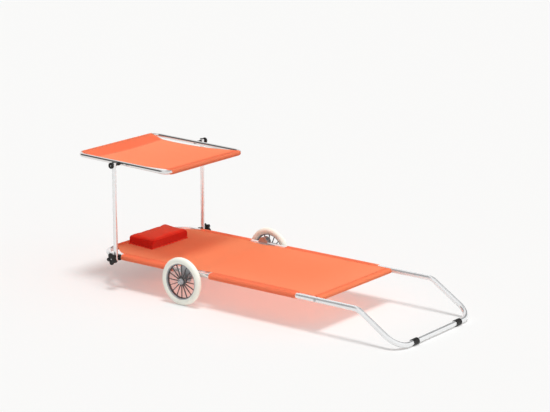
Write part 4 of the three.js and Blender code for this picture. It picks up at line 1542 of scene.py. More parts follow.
@dataclass
class LowerPivot:
    """Bolt, saddle and star knob at the foot of one post."""

    shop: Workshop
    side: Side
    bolt_radius: float = 0.004
    bolt_rim: float = 0.0008
    bolt_head: float = 0.008
    bolt_head_height: float = 0.0035
    bolt_overlap: float = 0.001
    bolt_recess: float = 0.003
    saddle_length: float = 0.03
    saddle_height: float = 0.028
    saddle_wrap: float = 0.008
    saddle_bevel: float = 0.002
    saddle_corner: float = 0.005
    saddle_corner_steps: int = 6
    knob: Knob = STAR_KNOB
    knob_radius: float = 0.03
    knob_valley: float = 0.02
    knob_lobes: int = 5
    knob_turn: float = -1.66
    lobe_power: float = 0.8

    def build(self) -> None:
        """Makes the pivot's three pieces."""
        self.bolt()
        self.saddle()
        self.star_knob()

    def settle_in(self, obj: Piece, out: float = 0.0) -> Piece:
        """Takes a piece drawn along +Y to the pivot, some way out from the middle plane."""
        plan = self.shop.plan
        return move(obj, (plan.post_x, self.side.value * out, plan.rail_height), self.side.outward)

    def bolt(self) -> None:
        """Makes the bolt, whose six-sided head is inside the rail."""
        plan = self.shop.plan
        seat = plan.rail_half_width - plan.rail_radius - plan.fit
        tip = plan.knob_face + self.knob.depth - self.bolt_recess
        profile = rounded_ends(self.bolt_radius, seat - self.bolt_overlap, tip, self.bolt_rim)
        head = hexagon("head", self.bolt_head, seat - self.bolt_head_height, seat)
        bolt = join(f"bolt_lower_{self.side.word}", [lathe("shaft", profile, 32), head])
        self.shop.finish(self.settle_in(bolt), Body.HEAD, Slot.PLATED, f"lower_bolt_{self.side.word}")

    def saddle(self) -> None:
        """Makes the block between the rail and the post."""
        plan = self.shop.plan
        start = plan.rail_half_width + plan.rail_radius - self.saddle_wrap
        end = plan.post_face
        bevel = self.saddle_bevel
        stations = [(start, bevel), (start + bevel, 0.0), (end - bevel, 0.0), (end, bevel)]
        rings = [self.saddle_ring(along, inset) for along, inset in stations]
        saddle = loft(f"saddle_{self.side.word}", rings)
        bore = self.bolt_radius + plan.fit
        cut_by(saddle, lathe("bore", [(0.0, 0.0), (bore, 0.0), (bore, plan.post_y), (0.0, plan.post_y)], 32))
        seat_on_tube(saddle, plan.rail_half_width, plan.rail_radius + plan.fit / 2, self.saddle_length)
        self.shop.finish(self.settle_in(saddle), Body.HEAD, Slot.BLACK, f"post_saddle_{self.side.word}")

    def saddle_ring(self, along: float, inset: float) -> list[Point]:
        """A rounded rectangle across the saddle.

        Args:
            along: Its distance from the middle plane.
            inset: How much smaller it is on each side.

        Returns:
            The ring's points.
        """
        corner = self.saddle_corner
        x = self.saddle_length / 2 - inset - corner
        z = self.saddle_height / 2 - inset - corner
        ring = []
        for quarter, (right, up) in enumerate(((1, 1), (-1, 1), (-1, -1), (1, -1))):
            for turn in quarter_angles(self.saddle_corner_steps):
                angle = QUARTER_TURN * quarter + turn
                ring.append((right * x + corner * cos(angle), along, up * z + corner * sin(angle)))
        return ring

    def star_knob(self) -> None:
        """Makes the star knob."""
        plan = self.shop.plan
        name = f"star_knob_{self.side.word}"
        knob = self.knob.solid(f"star_{self.side.word}", self.outline, self.bolt_radius + plan.fit)
        self.shop.finish(self.settle_in(knob, plan.knob_face), name, Slot.BLACK, name)

    def outline(self, angle: float) -> float:
        """The star's radius: full round lobes with short valleys between them.

        Args:
            angle: The direction round the knob.

        Returns:
            The radius.
        """
        place = (angle if self.side is Side.LEFT else HALF_TURN - angle) - self.knob_turn
        wave = (1 + cos(self.knob_lobes * place)) / 2
        return self.knob_valley + (self.knob_radius - self.knob_valley) * wave**self.lobe_power


def hexagon(name: str, radius: float, start: float, end: float) -> Piece:
    """A six-sided bolt head along Y with chamfered corners.

    Args:
        name: Its name.
        radius: Its radius over the corners.
        start: Where it starts.
        end: Where it ends.

    Returns:
        The head about the axis.
    """
    chamfer = 0.0006
    face_share = 0.88
    stations = [(start, radius * face_share), (start + chamfer, radius), (end, radius)]
    corners = round_angles(6)
    return loft(name, [[round_point(reach, angle, along) for angle in corners] for along, reach in stations])


@dataclass
class CanopyPlace:
    """Where the canopy lies at rest: its middle, its tilt and its ring."""

    plan: Plan
    tilt: float = radians(1.3)
    half_width: float = 0.285
    head_reach: float = 0.272
    foot_reach: float = 0.293
    corner_radius: float = 0.04
    tube_radius: float = 0.01

    @property
    def matrix(self) -> Matrix:
        """What takes a shape drawn about the pivot to its place."""
        middle = Matrix.Translation((self.plan.post_x, 0.0, self.plan.canopy_height))
        return middle @ Matrix.Rotation(self.tilt, 4, "Y")

    @property
    def length(self) -> float:
        """Distance between the ring's two cross runs."""
        return self.head_reach + self.foot_reach

    def settle_in(self, obj: Piece, side: Side = Side.LEFT, out: float = 0.0) -> Piece:
        """Takes a piece drawn along +Y to its place on a side, some way out from the middle plane."""
        obj.data.transform(self.matrix @ side.outward @ Matrix.Translation((0.0, out, 0.0)))
        return obj

    def settle_point(self, point: Point) -> Point:
        """The place of a point that is drawn about the pivot."""
        return tuple(self.matrix @ Vector(point))


@dataclass
class UpperPivot:
    """Bolt, bush and round knob at the top of one post."""

    shop: Workshop
    place: CanopyPlace
    side: Side
    bolt_radius: float = 0.003
    bolt_rim: float = 0.0006
    bolt_head: float = 0.0065
    bolt_head_height: float = 0.004
    bolt_head_rim: float = 0.0012
    bolt_overlap: float = 0.001
    bolt_recess: float = 0.002
    bush_radius: float = 0.0085
    bush_wrap: float = 0.006
    bush_waist: float = 0.0018
    bush_bevel: float = 0.0008
    bush_steps: tuple[float, ...] = (0.011, 0.013, 0.007, 0.005)
    bush_cut: float = 0.02
    knob: Knob = ROUND_KNOB
    knob_radius: float = 0.015
    flute: float = 0.001
    flutes: int = 12
    flute_power: int = 3

    def build(self) -> None:
        """Makes the pivot's three pieces."""
        self.bolt()
        self.bush()
        self.round_knob()

    def bolt(self) -> None:
        """Makes the bolt through the canopy's tube."""
        plan = self.shop.plan
        seat = self.place.half_width - self.place.tube_radius - plan.fit
        tip = plan.knob_face + self.knob.depth - self.bolt_recess
        profile = rounded_ends(self.bolt_radius, seat - self.bolt_overlap, tip, self.bolt_rim)
        shaft = lathe("shaft", profile, 28)
        profile = rounded_ends(self.bolt_head, seat - self.bolt_head_height, seat, self.bolt_head_rim)
        bolt = join(f"bolt_upper_{self.side.word}", [shaft, lathe("head", profile, 36)])
        self.place.settle_in(bolt, self.side)
        self.shop.finish(bolt, Body.CANOPY, Slot.PLATED, f"upper_bolt_{self.side.word}")

    def bush(self) -> None:
        """Makes the black bush between the canopy's tube and the post."""
        plan = self.shop.plan
        start = self.place.half_width + self.place.tube_radius - self.bush_wrap
        end = plan.post_face
        wide = self.bush_radius
        slim = wide - self.bush_waist
        bore = self.bolt_radius + plan.fit
        bevel = self.bush_bevel
        steps = self.bush_steps
        profile = [(bore, start), (wide, start), (wide, start + steps[0]), (slim, start + steps[1])]
        profile.extend([(slim, end - steps[2]), (wide, end - steps[3])])
        profile.extend([(wide, end - bevel), (wide - bevel, end), (bore, end)])
        bush = lathe(f"bush_{self.side.word}", profile, 48, closed=True)
        seat_on_tube(bush, self.place.half_width, self.place.tube_radius + plan.fit / 2, self.bush_cut)
        self.place.settle_in(bush, self.side)
        self.shop.finish(bush, Body.CANOPY, Slot.BLACK, f"canopy_bush_{self.side.word}")

    def round_knob(self) -> None:
        """Makes the fluted round knob."""
        plan = self.shop.plan
        name = f"round_knob_{self.side.word}"
        knob = self.knob.solid(f"round_{self.side.word}", self.outline, self.bolt_radius + plan.fit)
        self.place.settle_in(knob, self.side, plan.knob_face)
        self.shop.finish(knob, name, Slot.BLACK, name)

    def outline(self, angle: float) -> float:
        """The fluted radius: round ridges with narrow grooves."""
        groove = (1 - cos(self.flutes * angle)) / 2
        return self.knob_radius - self.flute * groove**self.flute_power


@dataclass
class CanopyRing:
    """The canopy's tube, bent into a ring whose ends meet in the foot side sleeve."""

    shop: Workshop
    place: CanopyPlace

    def build(self) -> None:
        """Bends the ring."""
        place = self.place
        gap = self.shop.plan.fit / 2
        wide = place.half_width
        head, foot = -place.head_reach, place.foot_reach
        ways = [(foot, -gap), (foot, -wide), (head, -wide), (head, wide), (foot, wide), (foot, gap)]
        corners = [((x, y, 0.0), 0.0 if abs(y) == gap else place.corner_radius) for x, y in ways]
        material = self.shop.finishes[Extra.POLISHED]
        ring = place.settle_in(self.shop.tubes.bend("canopy_ring", corners, place.tube_radius, material))
        install(ring, Body.CANOPY, Slot.TUBE, "canopy_frame_tube")


# Cloth


def cloth_object(
    name: str,
    lines: tuple[int, int],
    locate: Callable[[int, int], Crossing],
    keep: Callable[[int, int], bool],
    thickness: float,
) -> Piece:
    """A sheet of cloth over a grid, given its thickness, with its thread coordinates on it.

    Args:
        name: Its name.
        lines: Number of grid lines in each direction.
        locate: The place of a crossing and its flat place, with 1 as third number where the cloth takes
            painted shade.
        keep: Whether the cell that starts at a crossing is cloth.
        thickness: The cloth's thickness.

    Returns:
        The cloth.
    """
    numbers: dict[tuple[int, int], int] = {}
    faces: list[Face] = []
    for row in range(lines[0] - 1):
        for column in range(lines[1] - 1):
            if keep(row, column):
                cell = [(row, column), (row + 1, column), (row + 1, column + 1), (row, column + 1)]
                faces.append(tuple(numbers.setdefault(crossing, len(numbers)) for crossing in cell))
    places = [locate(row, column) for row, column in numbers]
    obj = add_object(name, [place for place, _ in places], faces)
    mark_points(obj, "cloth", [flat for _, flat in places])
    solid = obj.modifiers.new("thickness", "SOLIDIFY")
    solid.thickness = thickness
    solid.offset = 0.0
    return shade(settle(obj), CLOTH_ANGLE)


@dataclass(kw_only=True)
class Cloth:
    """What the two stretched cloths have in common."""

    shop: Workshop
    thickness: float = 0.0012
    outer_gap: float = 0.002
    seam_in: float = 0.02
    seam_allowance: float = 0.026
    wrap_turn: float = radians(292)
    pitch: float = 0.008
    stitch_lift: float = 0.0001


@dataclass(kw_only=True)
class BedCloth(Cloth):
    """The bed's one cloth, with sleeves on the rails and hems round the two end bars."""

    sag: float = 0.012
    sag_run: float = 0.18
    waist_dip: float = 0.005
    waist_run: float = 0.11
    waist_half_width: float = 0.272
    even_half_width: float = 0.264
    edge_lines: tuple[float, ...] = (0.268, 0.276, 0.2805, 0.29, 0.295)
    foot_half_width: float = 0.285
    corner_half_width: float = 0.285
    head_half_width: float = 0.185
    corner_x: float = -0.4
    corner_end_x: float = -0.53
    corner_bulge: float = 1.5
    flat_places: Pair = (1.5, 2.0)
    head_notch: float = -0.079
    foot_notch: float = 0.14
    sleeve_end_right: float = 0.641
    sleeve_end_left: float = 0.677
    hinge_pitch: float = 0.004
    column_pitch: float = 0.011
    wrap_steps: int = 20
    under_gap: float = 1.05
    foot_hem_part: float = 0.67
    pucker: float = 0.0005
    pucker_reach: float = 0.014
    pucker_waves: tuple[Point, ...] = ((1.0, 190.0, 1.0), (0.6, 317.0, 2.0), (0.5, 83.0, -1.0))
    left_shift: float = 1.0
    right_shift: float = 2.3
    blend_reach: float = 0.03
    stitch_margin: float = 0.003
    stitch_rows: Pair = (0.0, 0.0045)
    stitch_inset: float = 0.001
    head_stitch: float = 0.024
    foot_stitch: float = 0.0135

    def __post_init__(self) -> None:
        """Lays out the grid."""
        self.rows = self.row_lines()
        half = self.column_lines()
        self.columns = [(kind, place, -1) for kind, place in reversed(half[1:])]
        self.columns.extend((kind, place, 1) for kind, place in half)
        self.sleeve_radius = self.shop.plan.rail_radius + self.outer_gap - self.thickness / 2
        self.hem_radius = FootFrame.hem_bar_radius + self.outer_gap - self.thickness / 2

    def top(self, x: float, y: float) -> float:
        """Height of the cloth's upper face over the rails' centre.

        Args:
            x: Distance from the hinge towards the foot end.
            y: Distance from the middle plane.

        Returns:
            The height.
        """
        sleeve = self.shop.plan.rail_radius + self.outer_gap
        hem_x = HeadFrame.head_bar if x < 0 else FootFrame.hem_bar
        hem_rise = sleeve if x < 0 else FootFrame.hem_bar_radius + self.outer_gap
        away = min(1.0, abs(hem_x - x) / self.sag_run)
        level = hem_rise + (sleeve - hem_rise) * away
        across = 1 - (y / self.shop.plan.rail_half_width) ** 2
        waist = cos(QUARTER_TURN * min(1.0, abs(x) / self.waist_run)) ** 2
        sag = self.sag * sin(QUARTER_TURN * away) * across
        return level - sag - self.waist_dip * waist - self.ripple(x, y)

    def middle(self, x: float, y: float) -> float:
        """Height of the cloth's middle over the rails' centre."""
        return self.top(x, y) - self.thickness / 2

    def ripple(self, x: float, y: float) -> float:
        """Depth of the small puckers beside the sleeves' seams.

        Args:
            x: Distance from the hinge.
            y: Distance from the middle plane.

        Returns:
            The depth, from zero.
        """
        seam = self.shop.plan.rail_half_width - self.seam_in
        near = exp(-(((abs(y) - seam) / self.pucker_reach) ** 2))
        side = self.left_shift if y > 0 else self.right_shift
        depth = sum(size * (1 + sin(x * pace + shift * side)) for size, pace, shift in self.pucker_waves)
        return self.pucker * near * depth / 2

    def half_width(self, x: float) -> float:
        """Half the cloth's width where it has no sleeve, at a distance from the hinge."""
        share = max(0.0, min(1.0, (self.corner_x - x) / (self.corner_x - self.corner_end_x)))
        wider = self.head_half_width - self.corner_half_width
        return self.corner_half_width + wider * share**self.corner_bulge

    def row_lines(self) -> list[tuple[str, float]]:
        """The grid lines across the lounger: how far round a hem bar, or the place along the lounger."""
        bends = [-self.blend_reach, self.blend_reach]
        head = [HeadFrame.head_bar, self.corner_end_x, self.corner_x, self.head_notch]
        ends = (self.foot_notch, self.sleeve_end_right, self.sleeve_end_left, FootFrame.hem_bar)
        stops = [*head, *bends, *ends]
        places = stops[:1]
        for start, end in zip(stops, stops[1:]):
            places.extend(spaced(start, end, self.hinge_pitch if [start, end] == bends else self.pitch)[1:])
        lines = [("head", place) for place in reversed(self.wrap_places())]
        lines.extend(("panel", place) for place in places)
        return [*lines, *(("foot", place) for place in self.wrap_places())]

    def wrap_places(self) -> list[float]:
        """How far round a bar each wrap line lies, where the last two lie flat under the panel."""
        return [*((i + 1) / self.wrap_steps for i in range(self.wrap_steps)), *self.flat_places]

    def column_lines(self) -> list[tuple[str, float]]:
        """The grid lines along the lounger on one side, from the middle outwards."""
        widths = (self.waist_half_width, self.corner_half_width, self.shop.plan.rail_half_width)
        edges = sorted([*self.edge_lines, *widths])
        places = [*spaced(0.0, self.even_half_width, self.column_pitch), *edges]
        return [*(("panel", place) for place in places), *(("wrap", place) for place in self.wrap_places())]

    def wrap_point(
        self, place: float, radius: float, height_in: Callable[[float], float], part: float = 1.0
    ) -> Pair:
        """A point of the cloth's middle on its way round a bar.

        Args:
            place: How far round it lies.
            radius: The radius of the cloth's middle about the bar.
            height_in: Height of the panel's middle at a distance inwards from the bar.
            part: The seam allowance as a part of a sleeve's.

        Returns:
            Its distance outwards from the bar's centre, and its height over it.
        """
        if place <= 1:
            angle = self.wrap_turn * place
            return radius * sin(angle), radius * cos(angle)
        start, end = self.flat_places
        share = (place - start) / (end - start)
        inward = part * (self.seam_in + (self.seam_allowance - self.seam_in) * share)
        return -inward, height_in(inward) - self.thickness * self.under_gap

    def hem_point(self, head: bool, place: float, y: float) -> Crossing:
        """A point on the hem round an end bar.

        Args:
            head: Whether it is the head bar.
            place: How far round the bar it lies.
            y: Its distance from the middle plane, before the head end's narrowing.

        Returns:
            The point and its flat place.
        """
        plan = self.shop.plan
        bar, toward = (HeadFrame.head_bar, -1) if head else (FootFrame.hem_bar, 1)
        radius = self.sleeve_radius if head else self.hem_radius
        y *= self.head_half_width / self.corner_half_width if head else 1.0
        part = 1.0 if head else self.foot_hem_part
        out, up = self.wrap_point(place, radius, lambda inward: self.middle(bar - toward * inward, y), part)
        flat_x = bar + toward * radius * self.wrap_turn * place
        # The head hem takes painted shade, the foot hem none.
        return (plan.hinge_x + bar + toward * out, y, plan.rail_height + up), (flat_x, y, float(head))

    def locate(self, row: int, column: int) -> Crossing:
        """The place of a crossing and its flat place.

        Args:
            row: The grid line across the lounger.
            column: The grid line along it.

        Returns:
            Both places, the flat one with 1 as third number where doubled cloth takes painted shade.
        """
        plan = self.shop.plan
        row_kind, x = self.rows[row]
        kind, place, sign = self.columns[column]
        if row_kind != "panel":
            return self.hem_point(row_kind == "head", x, sign * place)
        if kind == "wrap":
            wide = plan.rail_half_width
            out, up = self.wrap_point(place, self.sleeve_radius, lambda inward: self.middle(x, wide - inward))
            point = (plan.hinge_x + x, sign * (wide + out), plan.rail_height + up)
            # The sleeve round the rail takes painted shade.
            return point, (x, sign * (wide + self.sleeve_radius * self.wrap_turn * place), 1.0)
        y = sign * place * self.half_width(x) / self.corner_half_width
        # Cloth over the sleeves' and the head hem's seam allowances takes painted shade.
        doubled = abs(y) > plan.rail_half_width - self.seam_in or x < HeadFrame.head_bar + self.seam_in
        return (plan.hinge_x + x, y, plan.rail_height + self.middle(x, y)), (x, y, float(doubled))

    def keep(self, row: int, column: int) -> bool:
        """Whether a cell is cloth.

        Args:
            row: The grid line across the lounger that it starts at.
            column: The grid line along it that it starts at.

        Returns:
            True for cloth.
        """
        sides = (self.columns[column], self.columns[column + 1])
        far = max(sides, key=lambda entry: (entry[0] == "wrap", entry[1]))
        widest = far[1] if far[0] == "panel" else inf
        kinds = {self.rows[row][0], self.rows[row + 1][0]}
        x = (self.rows[row][1] + self.rows[row + 1][1]) / 2
        if "head" in kinds or x < self.corner_x:
            return widest <= self.corner_half_width
        if "foot" in kinds or x > (self.sleeve_end_left if far[2] > 0 else self.sleeve_end_right):
            return widest <= self.foot_half_width
        return widest <= self.waist_half_width or not self.head_notch < x < self.foot_notch

    def build(self) -> Piece:
        """Makes the cloth and its stitches.

        Returns:
            The cloth.
        """
        lines = (len(self.rows), len(self.columns))
        cloth = cloth_object("bed_cloth", lines, self.locate, self.keep, self.thickness)
        paint(cloth, self.shop.finishes[Slot.ORANGE])
        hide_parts("bed_fabric_foot", "bed_fabric_head")
        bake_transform(cloth)
        report(cloth, "bends between the halves")
        head_ends = (self.corner_x, self.head_notch)
        foot_ends = (self.foot_notch, self.sleeve_end_right)
        self.seams("bed_seams_head", Body.HEAD, head_ends, HeadFrame.head_bar + self.head_stitch)
        self.seams("bed_seams_foot", Body.FOOT, foot_ends, FootFrame.hem_bar - self.foot_stitch)
        return cloth

    def seams(self, name: str, body: Body, ends: Pair, hem_x: float) -> None:
        """Sews a double row along each sleeve and the hem of one half.

        Args:
            name: The name of the stitches.
            body: The half's body.
            ends: Where its sleeves start and end.
            hem_x: Where the hem's outer row lies.
        """
        plan = self.shop.plan
        margin = self.stitch_margin

        def on_cloth(x: float, y: float) -> Point:
            """A place on the cloth's upper face."""
            return (plan.hinge_x + x, y, plan.rail_height + self.top(x, y) + self.stitch_lift)

        lines = []
        for side in Side:
            for shift in self.stitch_rows:
                y = side.value * (plan.rail_half_width - self.seam_in - self.stitch_inset - shift)
                lines.append([on_cloth(x, y) for x in spaced(ends[0] + margin, ends[1] - margin, self.pitch)])
        for shift in self.stitch_rows:
            x = hem_x + (shift if body is Body.HEAD else -shift)
            wide = (self.half_width(x) if body is Body.HEAD else self.foot_half_width) - margin
            lines.append([on_cloth(x, y) for y in spaced(-wide, wide, self.pitch)])
        self.shop.sew(name, lines, body)


@dataclass(kw_only=True)
class CanopyCloth(Cloth):
    """The canopy's cloth: a pocket round the head bar, a crease, a panel and a sleeve at the foot bar."""

    place: CanopyPlace
    edge_inset: float = 0.027
    edge_curve: float = 0.012
    pocket_length: float = 0.075
    seam_depth: float = 0.014
    seam_edge_share: float = 0.5
    sag: float = 0.006
    columns: int = 64
    wrap_steps: int = 18
    under_turn: float = radians(185)
    under_steps: int = 8
    under_sag: float = 0.003
    crease_inset: float = 0.002
    crease_gap: float = 1.6
    tuck_gap: float = 1.55
    wave: float = 0.0009
    waves: tuple[tuple[float, ...], ...] = ((1.0, 47.0, 1.1, 0.0), (0.6, 83.0, 0.0, 9.0))
    stitch_margin: float = 0.004
    crease_stitches: Pair = (0.002, 0.0065)
    foot_stitch: float = 0.001
    edge_stitch: float = 0.009

    def __post_init__(self) -> None:
        """Lays out the grid."""
        self.rows = self.row_lines()
        self.half_width = self.place.half_width - self.edge_inset

    def bar_shift(self, y: float) -> float:
        """How far a bar has bent in at a distance from the middle plane."""
        radius = self.place.corner_radius
        past = max(0.0, abs(y) - (self.place.half_width - radius))
        return radius - sqrt(radius**2 - past**2)

    def edge_at(self, from_bar: float) -> float:
        """The share of the full width that the bowed free edge leaves, at a distance from the head bar."""
        along = 2 * from_bar / self.place.length - 1
        return 1 - self.edge_curve * max(0.0, 1 - along**2) / self.half_width

    def top(self, from_bar: float, length: float, y: float) -> float:
        """Height of the cloth's upper face over the bars' centre.

        Args:
            from_bar: Distance from the head bar.
            length: Distance between the bars.
            y: Distance from the middle plane.

        Returns:
            The height.
        """
        rise = self.place.tube_radius + self.outer_gap
        edge = min(1.0, (y / self.half_width) ** 2)
        seam = -self.seam_depth * (1 - (1 - self.seam_edge_share) * edge)
        if from_bar < self.pocket_length:
            return rise + (seam - rise) * from_bar / self.pocket_length
        along = (from_bar - self.pocket_length) / (length - self.pocket_length)
        chord = seam + (rise - seam) * along
        slack = 4 * along * (1 - along)
        folds = sum(size * (1 + sin(y * pace + at + run * along)) for size, pace, at, run in self.waves)
        return chord - self.sag * slack - self.wave * slack * folds / 2

    def row_lines(self) -> list[tuple[str, float]]:
        """The grid lines across the canopy, from under the pocket's crease to under the foot sleeve."""
        lines = [("under", i / self.under_steps) for i in range(self.under_steps + 1)]
        lines.extend(("head", 1 - i / self.wrap_steps) for i in range(1, self.wrap_steps))
        lines.extend(("panel", place) for place in spaced(0.0, self.pocket_length, self.pitch))
        rest = spaced(self.pocket_length, self.place.length, self.pitch)[1:]
        lines.extend(("panel", place) for place in rest)
        lines.extend(("foot", (i + 1) / self.wrap_steps) for i in range(self.wrap_steps))
        return [*lines, ("tuck", 0.0), ("tuck", 1.0)]

    def locate(self, row: int, column: int) -> Crossing:
        """The place of a crossing and its flat place.

        Args:
            row: The grid line across the canopy.
            column: The grid line along it.

        Returns:
            Both places, the flat one with 1 as third number where doubled cloth takes painted shade.
        """
        kind, value = self.rows[row]
        length = self.place.length
        radius = self.place.tube_radius + self.outer_gap - self.thickness / 2
        flat_y = self.half_width * (2 * column / self.columns - 1)
        head = self.bar_shift(flat_y) - self.place.head_reach
        foot = self.place.foot_reach - self.bar_shift(flat_y)
        span = foot - head
        y = flat_y
        # Painted shade on the pocket, its fold under the crease, the foot sleeve and its tuck.
        doubled = True
        if kind == "panel":
            along = value
            y *= self.edge_at(value)
            x = head + span * value / length
            z = self.top(value * span / length, span, y) - self.thickness / 2
            # In the panel, painted shade only on the pocket and the foot sleeve's seam allowance.
            doubled = value <= self.pocket_length or value > length - self.seam_in
        elif kind == "head":
            angle = self.under_turn * value
            along = -radius * angle
            x, z = head - radius * sin(angle), radius * cos(angle)
        elif kind == "under":
            reach = self.pocket_length - self.crease_inset
            along = -radius * self.under_turn - reach * (1 - value)
            y *= self.edge_at(reach * (1 - value))
            seam = self.top(reach, span, y) - self.crease_gap * self.thickness
            x = head + reach + (-radius * sin(self.under_turn) - reach) * value
            z = seam + (radius * cos(self.under_turn) - seam) * value
            z -= self.under_sag * sin(HALF_TURN * value)
        elif kind == "foot":
            angle = self.wrap_turn * value
            along = length + radius * angle
            x, z = foot + radius * sin(angle), radius * cos(angle)
        else:
            inward = self.seam_in + (self.seam_allowance - self.seam_in) * value
            along = length + radius * self.wrap_turn + inward
            x = foot - inward
            z = self.top(span - inward, span, y) - self.tuck_gap * self.thickness
        return self.place.settle_point((x, y, z)), (along, flat_y, float(doubled))

    def build(self) -> Piece:
        """Makes the cloth and its stitches.

        Returns:
            The cloth.
        """
        lines = (len(self.rows), self.columns + 1)
        cloth = cloth_object("canopy_cloth", lines, self.locate, lambda row, column: True, self.thickness)
        paint(cloth, self.shop.finishes[Slot.ORANGE])
        install(cloth, Body.CANOPY, Slot.ORANGE, "canopy_fabric")
        self.seams()
        return cloth

    def seams(self) -> None:
        """Sews the crease, the foot sleeve and both free edges."""
        length = self.place.length
        margin = self.stitch_margin

        def on_cloth(from_bar: float, y: float) -> Point:
            """A place on the cloth's upper face."""
            height = self.top(from_bar, length, y) + self.stitch_lift
            return self.place.settle_point((from_bar - self.place.head_reach, y, height))

        lines = []
        across = [self.pocket_length + shift for shift in self.crease_stitches]
        for from_bar in [*across, length - self.seam_in - self.foot_stitch]:
            wide = self.half_width * self.edge_at(from_bar) - margin
            lines.append([on_cloth(from_bar, y) for y in spaced(-wide, wide, self.pitch)])
        along = spaced(self.pocket_length + 2 * margin, length - self.seam_in - margin, self.pitch)
        for side in Side:
            edge = [self.half_width * self.edge_at(place) - self.edge_stitch for place in along]
            lines.append([on_cloth(place, side.value * y) for place, y in zip(along, edge)])
        self.shop.sew("canopy_seams", lines, Body.CANOPY)


